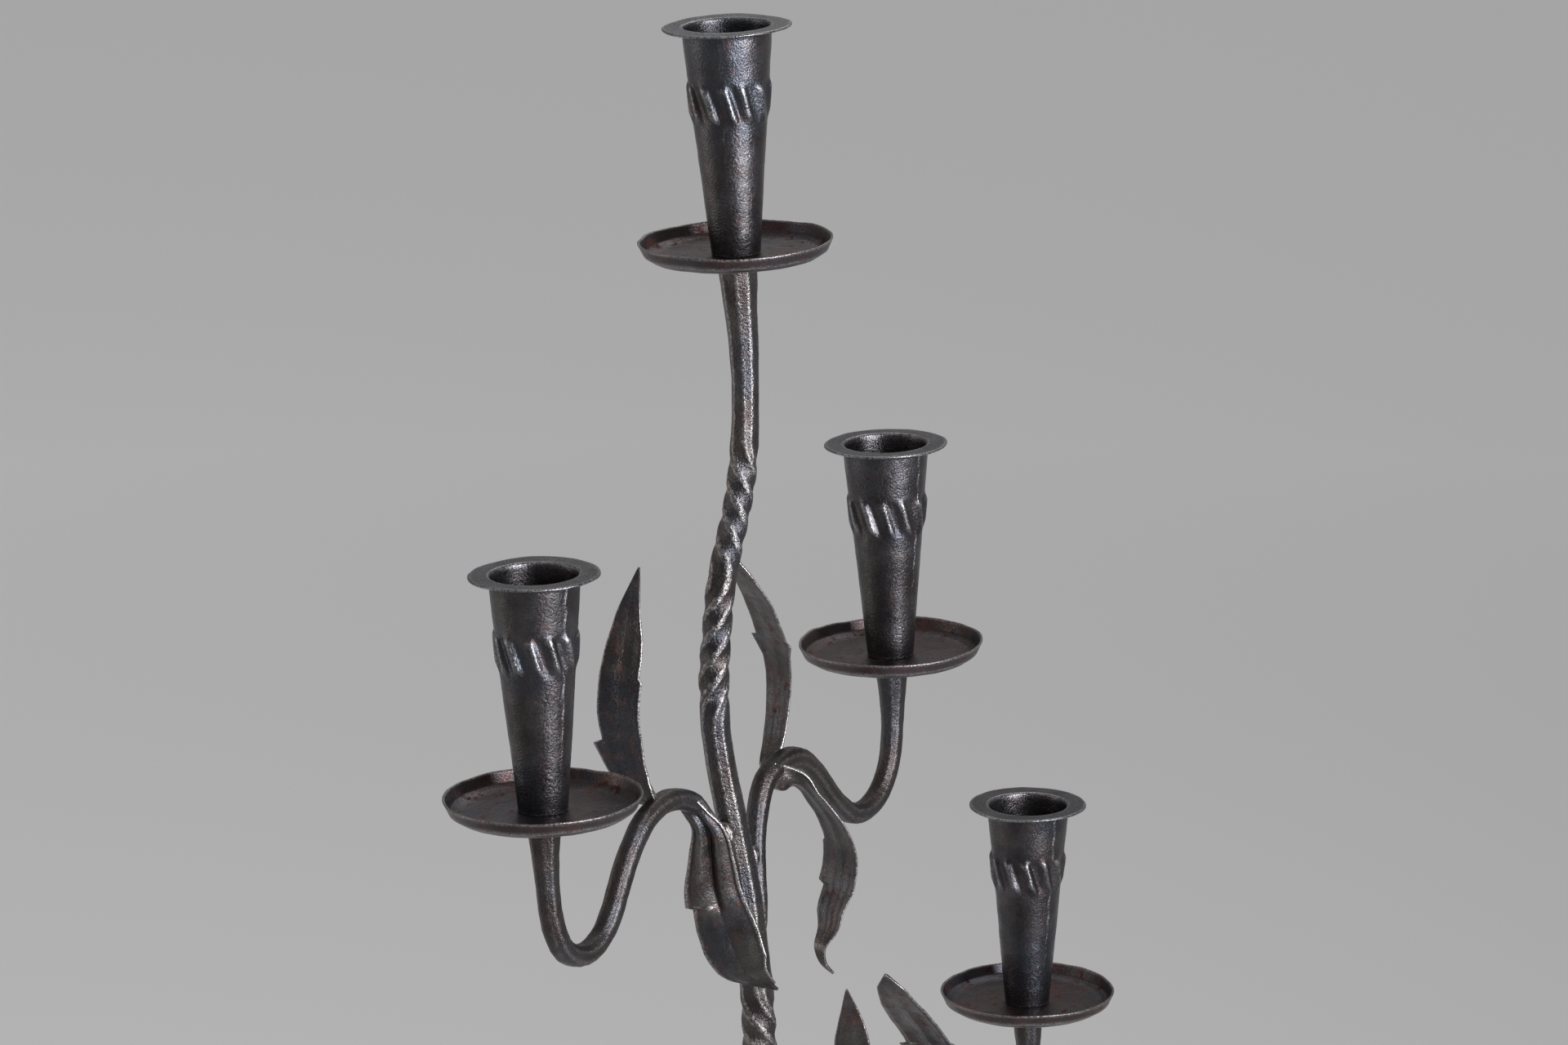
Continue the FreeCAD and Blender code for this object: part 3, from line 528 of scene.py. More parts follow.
def on_axis(light, local):
    """Points given in mm from the foot of a light's cup, at their place on the stand."""
    mount = mounts["candle_" + light]
    turn = np.array(Vector((0, 0, 1)).rotation_difference(Vector(mount["axis"])).to_matrix())
    return (local - [0, 0, DISC_TOP]) * MM @ turn.T + np.array(mount["pos_m"])


def turned(name, light, corners, hand):
    """A closed mesh round a light's axis, made from a profile of radius and height."""
    line = filled_profile(corners)
    angles = np.arange(AROUND) * (2 * math.pi / AROUND)
    radius, angle = np.meshgrid(line[:, 0], angles, indexing="ij")
    height = np.meshgrid(line[:, 1], angles, indexing="ij")[0]
    radius, height = hand(radius, height, angle)
    local = np.stack([radius * np.cos(angle), radius * np.sin(angle), height], axis=-1)
    points = on_axis(light, local.reshape(-1, 3))
    rows = len(line)
    index = np.arange(rows * AROUND).reshape(rows, AROUND)
    after = np.roll(index, -1, axis=1)
    quads = np.stack([index[:-1], after[:-1], after[1:], index[1:]], axis=-1).reshape(-1, 4)
    mesh = bpy.data.meshes.new(name)
    caps = [index[0][::-1].tolist(), index[-1].tolist()]
    mesh.from_pydata(points.tolist(), [], quads.tolist() + caps)
    mesh.update()
    return mesh


print("steps round each cup:", AROUND)

# %% [markdown]
# Sheet that was worked by hand is wavy. These helpers say where a wave or a step begins
# and ends, without a sharp corner, and how high the random waves are at each point.
# The waves have three sizes, and each place mixes them by its own three heights.

# %% Helpers for wavy sheet
def soft_step(value, low, high):
    """0 below low, 1 above high, and a smooth rise between them."""
    share = np.clip((value - low) / (high - low), 0, 1)
    return share * share * (3 - 2 * share)


def half_turns(angle):
    """The same angle, between minus half a turn and half a turn."""
    return (angle + math.pi) % (2 * math.pi) - math.pi


def at_points(radius, angle, height):
    """The points of a turned sheet, in metres, as one list."""
    return np.stack([radius * np.cos(angle), radius * np.sin(angle), height], -1).reshape(-1, 3) * MM


def sheet_waves(spot, shape, sizes, seed):
    """Random waves at these points, one for each size, from broad to fine."""
    return [lumps(spot, size, seed + i).reshape(shape) for i, size in enumerate(sizes)]


def mixed(waves, heights):
    """The waves laid over each other, each with its height in mm."""
    return sum(height * wave for height, wave in zip(heights, waves))


print("half way up a soft step:", float(soft_step(0.5, 0, 1)))

# %% [markdown]
# The candle cup was rolled from 1.5 mm sheet into a taper. A band of slanted pleats was
# driven into its wall: each is steep on one side and soft on the other, and no two are
# quite alike. Between the pleats the band is sunk a little.

# %% Pleats
PLEAT_COUNT = 12
PLEAT_DROP = 36.0
PLEAT_LENGTH = 18.5
PLEAT_SLANT = 15.0
PLEAT_WIDTH = 5.4
PLEAT_DEPTH = 2.0
STEEP_SIDE = 1.6
BAND_SINK = 0.55
# Where the band fades in and out, in mm from its foot and head
BAND_FOOT = (-3.5, 4.5)
BAND_HEAD = (-3.5, 1.5)


def pleat_rise(radius, angle, lift, heights, shifts):
    rise = np.zeros_like(radius)
    slant = math.tan(math.radians(PLEAT_SLANT)) * lift / radius
    for i in range(PLEAT_COUNT):
        centre = 2 * math.pi * i / PLEAT_COUNT + shifts[i]
        across = half_turns(angle - centre + slant) * radius / PLEAT_WIDTH
        side = np.where(across > 0, across * STEEP_SIDE, -across)
        rise = np.maximum(rise, heights[i] * soft_step(1 - side, 0, 1))
    return PLEAT_DEPTH * rise - BAND_SINK


def pleat_band(lift):
    """1 in the band of pleats and 0 above and below it."""
    foot = soft_step(lift, BAND_FOOT[0] - PLEAT_LENGTH / 2, BAND_FOOT[1] - PLEAT_LENGTH / 2)
    head = soft_step(lift, BAND_HEAD[0] + PLEAT_LENGTH / 2, BAND_HEAD[1] + PLEAT_LENGTH / 2)
    return foot * (1 - head)


print("pleats:", PLEAT_COUNT, "round a cup")

# %% [markdown]
# The rolled edges of the sheet meet in a rough seam, where one edge stands a little
# proud of the other and wanders on its way down.

# %% The seam of a cup
# Degrees round each cup
SEAM_ANGLES = {"top": 200, "upper_left": 255, "upper_right": 262, "lower_left": 100, "lower_right": 250}
SEAM_STEP = 0.42
SEAM_EDGE = 0.5
SEAM_FADE = 9.0
# Height where the seam starts to show, and where it stands fully proud
SEAM_HEIGHTS = (3, 60)


def seam_lap(radius, angle, height, small, seam):
    """How far the outer edge of the seam stands proud, in mm."""
    wander = 0.02 * np.sin(height * 0.55) + 0.012 * small
    past = half_turns(angle - seam + wander) * radius
    lap = np.clip(past / SEAM_EDGE, 0, 1) * np.clip(1 - past / SEAM_FADE, 0, 1)
    return SEAM_STEP * lap * soft_step(height, *SEAM_HEIGHTS)


print("a seam stands", SEAM_STEP, "mm proud")

# %% [markdown]
# The brim was hammered out over a stake, so it is uneven. Where it turns out, the wall
# is stiffer and has lower waves. All of the smith's hand is a change of the radius or
# the height of each point, and the pleats and the seam are on the outside alone.

# %% The hand in a cup
PLEAT_HEIGHTS = (0.75, 1.15)
PLEAT_SHIFTS = (-0.05, 0.05)
# Distance between waves in mm, then their heights in the wall, and out and up at the brim
CUP_WAVES = (24, 7, 2.6)
WALL_OUT = (0.28, 0.12, 0.045)
BRIM_OUT = (0.35, 0, 0)
BRIM_UP = (0.55, 0.18, 0)
WAVE_SHIFT = 0.37
# In mm below the top, where the stiff part and the brim begin, and where they are full
STIFF_DROP = (3.5, 1.0)
BRIM_DROP = (4.0, 1.6)
BRIM_RADIUS = (21.5, 25)
STIFF_SHARE = 0.6
FOOT_FADE_SHARE = 0.01


def cup_hand(light, tall, outside_rows, seed):
    random = np.random.default_rng(seed)
    heights = random.uniform(*PLEAT_HEIGHTS, PLEAT_COUNT)
    shifts = random.uniform(*PLEAT_SHIFTS, PLEAT_COUNT)
    seam = math.radians(SEAM_ANGLES[light])

    def hand(radius, height, angle):
        spot = at_points(radius, angle, height) + seed * WAVE_SHIFT
        waves = sheet_waves(spot, radius.shape, CUP_WAVES, seed)
        rows = np.arange(len(radius))[:, None]
        outside = (rows < outside_rows) * soft_step(rows / len(radius), 0, FOOT_FADE_SHARE)
        lift = height - (tall - PLEAT_DROP)
        band = pleat_band(lift)
        stiff = soft_step(height, tall - STIFF_DROP[0], tall - STIFF_DROP[1])
        rise = band * pleat_rise(radius, angle, lift, heights, shifts)
        lap = (1 - stiff) * (1 - band) * seam_lap(radius, angle, height, waves[1], seam)
        out = outside * (rise + lap)
        out = out + mixed(waves, WALL_OUT) * (1 - STIFF_SHARE * stiff)
        brim = soft_step(height, tall - BRIM_DROP[0], tall - BRIM_DROP[1])
        brim = brim * soft_step(radius, *BRIM_RADIUS)
        return radius + out + brim * mixed(waves, BRIM_OUT), height + brim * mixed(waves, BRIM_UP)

    return hand


print("waves in a cup, mm apart:", CUP_WAVES)

# %% [markdown]
# The profile runs from the foot up the outside, round the brim and down the inside to
# the disc that closes the foot. The disc is hidden in the cup, so one mesh is both.

# %% The profile of a cup
CUP_HEIGHT = 113.0
TALLER = {"upper_left": 1.03}
FOOT = 12.0
NECK = 22.35
BRIM = 31.6
INSIDE_FOOT = 10.6
INSIDE_END = 5.0


def cup_profile(tall):
    """The cup's corners as radius and height: its outside, and its brim and inside."""
    outside = [(FOOT - 1.0, 0.15), (FOOT - 0.3, 0.1), (FOOT, 0.9), (NECK - 0.45, tall - 4.0),
               (NECK, tall - 2.4), (NECK + 1.05, tall - 1.55)]
    brim = [(BRIM - 0.7, tall - 1.35), (BRIM, tall - 1.0), (BRIM, tall - 0.45), (BRIM - 0.5, tall - 0.1)]
    inside = [(NECK + 1.05, tall - 0.15), (NECK - 0.25, tall - 0.05), (NECK - 1.05, tall - 0.6),
              (NECK - 1.55, tall - 2.6), (INSIDE_FOOT, DISC_TOP + 0.6), (INSIDE_FOOT - 0.4, DISC_TOP),
              (INSIDE_END, DISC_TOP)]
    return outside, brim + inside


print("corners:", sum(len(part) for part in cup_profile(CUP_HEIGHT)))

# %% [markdown]
# Five cups, one for each light. The upper left one is a little taller than the others.

# %% Candle cups
LIGHTS = ("top", "upper_left", "upper_right", "lower_left", "lower_right")
for number, light in enumerate(LIGHTS):
    tall = CUP_HEIGHT * TALLER.get(light, 1.0)
    outside, rest = cup_profile(tall)
    hand = cup_hand(light, tall, len(filled_profile(outside)), 200 + 7 * number)
    mesh = turned("cup_" + light, light, outside + rest, hand)
    mark_worn(mesh, reach=12, full=0.3)
    cup = finish_piece(mesh, "cup_" + light + "_sheet", "sheet_cup", "cup_" + light, "cup_disc_" + light)
    print(cup.name, len(mesh.polygons), "faces")

# %% [markdown]
# The drip pan is a shallow tray dished from a round blank: a flat floor, a bend, and
# a low wall that flares.

# %% The profile of a pan
PAN_RIM = 48.0
PAN_BEND = 45.3
PAN_FLOOR = 41.0
PAN_HOLE = 6.0
PAN_DEPTH = 8.7
PAN_SHEET = 1.4


def pan_profile():
    """The pan's corners as radius and height: under it, over its rim, and back inside."""
    base = -PAN_SHEET
    top = base + PAN_DEPTH
    under = [(PAN_HOLE, base), (PAN_FLOOR - 1.5, base), (PAN_FLOOR + 0.6, base + 0.25),
             (PAN_BEND, base + 2.7)]
    rim = [(PAN_RIM - 0.1, top - 0.5), (PAN_RIM - 0.15, top - 0.1), (PAN_RIM - 0.6, top),
           (PAN_RIM - 1.2, top - 0.15)]
    inside = [(PAN_BEND - 0.9, base + 3.4), (PAN_FLOOR, base + 1.75),
              (PAN_FLOOR - 2.5, base + PAN_SHEET), (PAN_HOLE, base + PAN_SHEET)]
    return under + rim + inside


print("pan:", 2 * PAN_RIM, "mm across")

# %% [markdown]
# The pan's rim was cut by hand and goes in and out, and rises and falls, a little. Its
# floor keeps the hammer's dents.

# %% The hand in a pan
# Distance between waves in mm, then their heights out and up at the rim, and in the floor
PAN_WAVES = (30, 8, 3)
RIM_OUT = (0.5, 0.2, 0)
RIM_UP = (0.75, 0.22, 0)
FLOOR_UP = (0, 0.12, 0.05)
# The radii where the wall and the dents of the floor begin, and where they are full
WALL_RADIUS = (42.5, 47.5)
DENTS_RADIUS = (14, 22)


def pan_hand(seed):
    def hand(radius, height, angle):
        spot = at_points(radius, angle, height * 0)
        waves = sheet_waves(spot, radius.shape, PAN_WAVES, seed)
        wall = soft_step(radius, *WALL_RADIUS)
        dented = (1 - wall) * soft_step(radius, *DENTS_RADIUS)
        up = wall * mixed(waves, RIM_UP) + dented * mixed(waves, FLOOR_UP)
        return radius + wall * mixed(waves, RIM_OUT), height + up

    return hand


print("waves in a pan, mm apart:", PAN_WAVES)

# %% [markdown]
# Five pans, each with its own random waves.

# %% Drip pans
for number, light in enumerate(LIGHTS):
    mesh = turned("pan_" + light, light, pan_profile(), pan_hand(300 + 5 * number))
    mark_worn(mesh, reach=12, full=0.3)
    pan = finish_piece(mesh, "pan_" + light + "_sheet", "sheet_pan", "pan_" + light)
    print(pan.name, len(mesh.polygons), "faces")

# %% [markdown]
# The leaves were cut from 1.3 mm sheet with a chisel, which leaves the barbs on their
# edges, then ribbed over a groove in the anvil and bent to grow off the arms. Each
# leaf is a line in space with an outline to either side. The bends repeat the ones
# that the CAD leaves were made from: where the midrib goes, in shares of the leaf's
# length (away from the stem, to the back, up).

# %% Leaf bends
LEFT_RISING_SHARES = (
    (0.0, 0.0, 0.0), (0.040, 0.030, 0.020), (0.085, 0.075, 0.070), (0.105, 0.097, 0.150),
    (0.129, 0.107, 0.274), (0.151, 0.112, 0.402), (0.151, 0.111, 0.508), (0.138, 0.107, 0.611),
    (0.114, 0.101, 0.728), (0.091, 0.096, 0.845), (0.059, 0.091, 0.936), (0.035, 0.086, 1.012),
)
RIGHT_RISING_SHARES = (
    (0.0, 0.0, 0.0), (0.051, 0.065, -0.003), (0.102, 0.086, 0.074), (0.144, 0.093, 0.204),
    (0.141, 0.088, 0.353), (0.094, 0.084, 0.491), (0.020, 0.075, 0.619), (-0.061, 0.077, 0.746),
    (-0.145, 0.086, 0.861), (-0.211, 0.094, 0.956),
)
LEFT_FALLING_SHARES = (
    (0.0, 0.0, 0.0), (-0.025, -0.020, -0.045), (-0.058, -0.045, -0.110), (-0.099, -0.043, -0.261),
    (-0.130, -0.038, -0.399), (-0.161, -0.055, -0.522), (-0.190, -0.086, -0.646),
    (-0.207, -0.114, -0.738), (-0.234, -0.141, -0.804), (-0.286, -0.176, -0.854),
    (-0.362, -0.216, -0.905),
)
RIGHT_FALLING_SHARES = (
    (0.0, 0.0, 0.0), (0.070, -0.037, -0.031), (0.122, -0.071, -0.056), (0.169, -0.091, -0.104),
    (0.215, -0.111, -0.166), (0.263, -0.140, -0.248), (0.316, -0.159, -0.353), (0.345, -0.158, -0.455),
    (0.340, -0.149, -0.568), (0.300, -0.135, -0.676), (0.279, -0.132, -0.762),
    (0.239, -0.118, -0.847), (0.247, -0.130, -0.912), (0.277, -0.162, -0.963),
)
OUTER_RISING_SHARES = (
    (0.0, 0.0, 0.0), (0.025, 0.010, 0.045), (0.057, 0.012, 0.155), (0.045, 0.012, 0.290),
    (0.0, 0.012, 0.420), (-0.084, 0.010, 0.550), (-0.226, 0.011, 0.700), (-0.325, 0.008, 0.805),
    (-0.400, 0.003, 0.905),
)
INNER_RISING_SHARES = (
    (0.0, 0.0, 0.0), (0.0, 0.008, 0.060), (-0.015, 0.012, 0.160), (-0.045, 0.012, 0.290),
    (-0.070, 0.010, 0.420), (-0.090, 0.007, 0.555), (-0.115, 0.003, 0.715), (-0.157, 0.0, 0.840),
)
print("points in the first bend:", len(LEFT_RISING_SHARES))

# %% [markdown]
# An outline gives the midrib's share of length and, there, the width of one edge as a
# share of the leaf's width. A barb is a sudden drop between two points. The outlines
# repeat the CAD model's, but the edges of the slim leaf and of the left falling one lie
# up to 4 mm further out, as the photograph shows them.

# %% Leaf outlines
RISING_BACK_SHARES = (
    (0.0, 0.16), (0.04, 0.17), (0.11, 0.33), (0.20, 0.42), (0.325, 0.68), (0.337, 0.46),
    (0.44, 0.50), (0.58, 0.48), (0.70, 0.42), (0.81, 0.30), (0.93, 0.13), (1.0, 0.02),
)
RISING_FRONT_SHARES = (
    (0.0, 0.16), (0.035, 0.18), (0.09, 0.36), (0.15, 0.41), (0.40, 0.44), (0.57, 0.49),
    (0.582, 0.42), (0.65, 0.43), (0.73, 0.38), (0.82, 0.27), (0.92, 0.13), (1.0, 0.02),
)
SLIM_BACK_SHARES = (
    (0.0, 0.28), (0.08, 0.31), (0.22, 0.37), (0.40, 0.43), (0.46, 0.45), (0.535, 0.67),
    (0.547, 0.49), (0.70, 0.50), (0.80, 0.46), (0.92, 0.31), (1.0, 0.02),
)
SLIM_FRONT_SHARES = (
    (0.0, 0.28), (0.08, 0.31), (0.22, 0.38), (0.40, 0.45), (0.50, 0.52), (0.565, 0.63),
    (0.577, 0.50), (0.70, 0.50), (0.80, 0.45), (0.92, 0.31), (1.0, 0.02),
)
LEFT_FALLING_FRONT_SHARES = (
    (0.0, 0.20), (0.08, 0.25), (0.2, 0.40), (0.35, 0.49), (0.5, 0.53), (0.65, 0.56),
    (0.78, 0.53), (0.88, 0.36), (0.945, 0.22), (0.957, 0.11), (1.0, 0.02),
)
LEFT_FALLING_BACK_SHARES = (
    (0.0, 0.22), (0.08, 0.24), (0.2, 0.33), (0.35, 0.46), (0.44, 0.57), (0.495, 0.62),
    (0.507, 0.49), (0.60, 0.57), (0.70, 0.58), (0.79, 0.50), (0.88, 0.31), (1.0, 0.02),
)
RIGHT_FALLING_FRONT_SHARES = (
    (0.0, 0.24), (0.1, 0.25), (0.22, 0.34), (0.35, 0.42), (0.5, 0.46), (0.65, 0.42),
    (0.78, 0.30), (0.88, 0.14), (0.95, 0.08), (1.0, 0.02),
)
RIGHT_FALLING_BACK_SHARES = (
    (0.0, 0.24), (0.1, 0.25), (0.22, 0.30), (0.35, 0.36), (0.47, 0.40), (0.482, 0.46),
    (0.64, 0.54), (0.652, 0.38), (0.75, 0.36), (0.85, 0.20), (0.95, 0.08), (1.0, 0.02),
)
print("points in the first outline:", len(RISING_BACK_SHARES))

# %% [markdown]
# A leaf's midrib is a smooth curve through its bend's points. Between two points the
# curve is a cubic, whose slope at each end is a mix of the two straight runs that meet
# there, so that one stretch goes over into the next without a kink.

# %% A smooth line
SPAN_STEPS = 6


def smooth_line(points, steps):
    """More points on the smooth curve through the given ones."""
    chords = np.linalg.norm(np.diff(points, axis=0), axis=1)
    runs = np.diff(points, axis=0) / chords[:, None]
    slopes = [runs[0]]
    for i in range(1, len(runs)):
        slopes.append((runs[i - 1] * chords[i] + runs[i] * chords[i - 1]) / (chords[i] + chords[i - 1]))
    slopes.append(runs[-1])
    line = []
    for i, chord in enumerate(chords):
        for u in np.arange(steps) / steps:
            line.append(
                points[i] * (2 * u**3 - 3 * u**2 + 1)
                + points[i + 1] * (3 * u**2 - 2 * u**3)
                + slopes[i] * (chord * (u**3 - 2 * u**2 + u))
                + slopes[i + 1] * (chord * (u**3 - u**2))
            )
    return np.array(line + [points[-1]])


print("points on a smooth line:", len(smooth_line(np.array(LEFT_RISING_SHARES), SPAN_STEPS)))

# %% [markdown]
# Rows of points cross the midrib evenly, with one more wherever the outline has a
# corner, so that the barbs stay crisp.

# %% The midrib of a leaf
EVEN_ROWS = 221
WAY_REACH_SHARE = 0.03
ROW_GAP_SHARE = 0.003


def unit(rows):
    return rows / np.linalg.norm(rows, axis=-1, keepdims=True)


def midrib(root, side, bend, length, shares):
    """The midrib's points, and its directions, at these shares of its length."""
    line = smooth_line(np.array(root) + np.array(bend) * [side, 1, 1] * length, SPAN_STEPS)
    marks = np.append(0, np.cumsum(np.linalg.norm(np.diff(line, axis=0), axis=1)))

    def point(share):
        along = np.clip(share, 0, 1) * marks[-1]
        return np.stack([np.interp(along, marks, line[:, k]) for k in range(3)], 1)

    return point(shares), unit(point(shares + WAY_REACH_SHARE) - point(shares - WAY_REACH_SHARE))


def leaf_rows(back, front):
    corners = sorted({row[0] for row in back + front})
    even = np.linspace(0, 1, EVEN_ROWS)
    even = [share for share in even if min(abs(share - corner) for corner in corners) > ROW_GAP_SHARE]
    return np.array(sorted(even + corners))


print("rows on a leaf:", len(leaf_rows(RISING_BACK_SHARES, RISING_FRONT_SHARES)))

# %% [markdown]
# The sheet lies across the midrib at one angle to the stand. The right falling leaf is
# the one whose root is rolled flat along its arm first, so there its width turns from
# hanging down to lying across.

# %% How a leaf lies
ROLL_START_SHARE = 0.03
ROLL_END_SHARE = 0.22


def leaf_directions(side, angle, rolled, shares, way):
    """Directions across the leaf and out of its face, for each row."""
    turn = math.radians(side * (angle - 90))
    facing = np.array([-math.sin(turn), math.cos(turn), 0])
    down = rolled * (1 - soft_step(shares, ROLL_START_SHARE, ROLL_END_SHARE))[:, None]
    facing = facing * (1 - down) - np.array([0, 0, 1]) * down
    across = unit(facing - way * np.sum(way * facing, axis=1)[:, None])
    outward = np.cross(across, way) * side
    flips = np.where(outward[:, :1] * side < 0, -1, 1)
    return across, outward * (np.sign(np.sum(flips)) if rolled else flips)


print("rolled over", ROLL_END_SHARE - ROLL_START_SHARE, "of the length")

# %% [markdown]
# Across the sheet two soft ribs lie beside the midrib, which is pressed in or stands up
# as a fine line, and the chisel has turned the outer strip up a little. The ribs start
# where the forged root ends and fade out towards the tip.

# %% The section of a leaf
COLUMNS = 57
MIDRIB_DEPTH_SHARE = 0.18
MIDRIB_WIDTH_SHARE = 0.06
TURNED_EDGE_SHARE = 0.35
FORGED_SHARE = 0.16
TIP_SHARE = 0.25
LEFT_AT_END_SHARE = 0.3
ACROSS = np.linspace(-1, 1, COLUMNS)


def root_fade(shares):
    """0 at the root and 1 where the forged root has become sheet."""
    return np.clip(shares / FORGED_SHARE, 0, 1)


def tip_fade(shares):
    return np.clip((1 - shares) / TIP_SHARE, 0, 1)


def rib_height(kind, shares):
    """The height of the sheet over its middle, in mm, in rows along the leaf."""
    rib = np.sin(math.pi * np.abs(ACROSS) ** 0.85) ** 2
    rib = rib - kind["vein"] * MIDRIB_DEPTH_SHARE * np.exp(-((ACROSS / MIDRIB_WIDTH_SHARE) ** 2))
    rib = rib + TURNED_EDGE_SHARE * soft_step(np.abs(ACROSS), 0.80, 0.92)
    end = kind["ribs_end"]
    height = kind["ribs"] * (1 - (1 - LEFT_AT_END_SHARE) * soft_step(shares, end - 0.15, end))
    return rib * (height * root_fade(shares) * tip_fade(shares))[:, None]


print("columns across a leaf:", COLUMNS)

# %% [markdown]
# The sheet's middle is laid out first, in rows of points, then raised to its ribs and
# dented. Its two faces lie half its thickness to either side.

# %% The faces of a leaf
LEAF_SHEET = 1.3
LEAF_ROOT = 5.0
THIN_EDGE_SHARE = 0.55
# Distance between dents and their depth, in mm
LEAF_DENTS = ((10, 0.3), (4, 0.12), (1.6, 0.04))


def leaf_faces(kind, root, side, seed):
    """Two grids of points, in mm: the leaf's outer face and its inner one."""
    shares = leaf_rows(kind["back"], kind["front"])
    spine, way = midrib(root, side, kind["bend"], kind["length"], shares)
    across, outward = leaf_directions(side, kind["angle"], kind["rolled"], shares, way)
    back = table(kind["back"], shares)[:, None]
    front = table(kind["front"], shares)[:, None]
    reach = np.where(ACROSS > 0, back, front) * kind["width"] * ACROSS
    flat = spine[:, None] + across[:, None] * reach[..., None]
    flat = flat + outward[:, None] * rib_height(kind, shares)[..., None]
    spot = flat.reshape(-1, 3) * MM + np.random.default_rng(seed).uniform(0, 1, 3)
    dents = sum(depth * lumps(spot, size, seed + i) for i, (size, depth) in enumerate(LEAF_DENTS))
    dents = dents.reshape(reach.shape) * tip_fade(shares)[:, None]
    flat = flat + outward[:, None] * dents[..., None]
    thick = (LEAF_ROOT + (LEAF_SHEET - LEAF_ROOT) * root_fade(shares))[:, None]
    thick = thick * (1 - THIN_EDGE_SHARE * soft_step(np.abs(ACROSS), 0.93, 1.0))
    half = (thick / 2)[..., None] * outward[:, None]
    return flat + half, flat - half


print("sheet:", LEAF_SHEET, "mm")

# %% [markdown]
# The two faces are joined round their border, which makes the sheet a closed solid. The
# root is thicker, where it was forged, and the edge thinner, where it was cut.

# %% Closing the sheet
def closed_sheet(name, outer, inner):
    rows, columns = outer.shape[:2]
    points = np.concatenate([outer.reshape(-1, 3), inner.reshape(-1, 3)]) * MM
    index = np.arange(rows * columns).reshape(rows, columns)
    top = np.stack([index[:-1, :-1], index[:-1, 1:], index[1:, 1:], index[1:, :-1]], -1).reshape(-1, 4)
    under = top[:, ::-1] + rows * columns
    border = np.concatenate([index[0], index[1:, -1], index[-1, -2::-1], index[-2:0:-1, 0]])
    after = np.roll(border, -1)
    sides = np.stack([after, border, border + rows * columns, after + rows * columns], -1)
    mesh = bpy.data.meshes.new(name)
    mesh.from_pydata(points.tolist(), [], np.concatenate([top, under, sides]).tolist())
    shell = bmesh.new()
    shell.from_mesh(mesh)
    bmesh.ops.remove_doubles(shell, verts=shell.verts, dist=0.005 * MM)
    bmesh.ops.recalc_face_normals(shell, faces=shell.faces)
    shell.to_mesh(mesh)
    shell.free()
    mesh.update()
    return mesh


print("faces joined:", 2)

# %% [markdown]
# Six kinds of leaf: its bend, the angle its width lies at, its length and width in mm,
# its two outlines, whether its midrib is pressed in (1) or stands up (-1), how high its
# ribs are in mm and where they fade out, and whether its root is rolled.

# %% The six kinds of leaf
RISING = dict(angle=72, length=118, width=22.5, ribs=0.4, ribs_end=0.9, rolled=0)
FALLING = dict(angle=72, length=116, width=28)
BROAD = dict(back=RISING_BACK_SHARES, front=RISING_FRONT_SHARES, vein=1)
SLIM = dict(back=SLIM_BACK_SHARES, front=SLIM_FRONT_SHARES, vein=-1)
LEAF_KINDS = {
    "left_rising": dict(RISING, **BROAD, bend=LEFT_RISING_SHARES),
    "right_rising": dict(RISING, **SLIM, bend=RIGHT_RISING_SHARES),
    "left_falling": dict(
        FALLING, bend=LEFT_FALLING_SHARES, back=LEFT_FALLING_BACK_SHARES, front=LEFT_FALLING_FRONT_SHARES,
        vein=1, ribs=3.4, ribs_end=0.6, rolled=0,
    ),
    "right_falling": dict(
        FALLING, bend=RIGHT_FALLING_SHARES, back=RIGHT_FALLING_BACK_SHARES,
        front=RIGHT_FALLING_FRONT_SHARES, vein=-1, ribs=0.7, ribs_end=0.9, rolled=1,
    ),
    "inner": dict(RISING, **BROAD, angle=108, bend=INNER_RISING_SHARES),
    "outer": dict(RISING, **SLIM, angle=95, length=150, width=28, bend=OUTER_RISING_SHARES, ribs=1.6),
}
print("kinds:", list(LEAF_KINDS))

# %% [markdown]
# Ten leaves: the kind, the side of the stand, and where the root is welded to its arm.

# %% The ten leaves
LEAVES = {
    "upper_left_rising": ("left_rising", -1, (-57.2, 0.1, 871.3)),
    "upper_right_rising": ("right_rising", 1, (50.6, -0.1, 864.2)),
    "upper_left_falling": ("left_falling", -1, (-32.5, 0.0, 865.5)),
    "upper_right_falling": ("right_falling", 1, (41.5, -0.2, 861.3)),
    "lower_left_inner": ("inner", -1, (-125.5, -0.9, 626.5)),
    "lower_left_outer": ("outer", -1, (-212.4, -0.1, 585.1)),
    "lower_left_falling": ("left_falling", -1, (-79.4, -1.9, 611.3)),
    "lower_right_inner": ("inner", 1, (135.2, -1.0, 626.0)),
    "lower_right_outer": ("outer", 1, (218.6, -0.1, 585.6)),
    "lower_right_falling": ("left_falling", 1, (91.9, -2.1, 607.1)),
}
for number, (leaf, (kind, side, root)) in enumerate(LEAVES.items()):
    outer, inner = leaf_faces(LEAF_KINDS[kind], root, side, 400 + 9 * number)
    mesh = closed_sheet("leaf_" + leaf, outer, inner)
    mark_worn(mesh, reach=8, full=0.25)
    piece = finish_piece(mesh, "leaf_" + leaf + "_sheet", "sheet_leaf_with_painted_light", "leaf_" + leaf)
    print(piece.name, len(mesh.polygons), "faces")

# %% [markdown]
# The stand was photographed on one pale grey paper that runs on behind it. Here that
# is a wide floor. It is made a little lighter far away, where less light falls on it,
# so that the background is even.

# %% Floor
FLOOR_HALF = 40
# The paper gets lighter between these distances from the stand, in m
NEAR = 2.0
FAR = 4.3

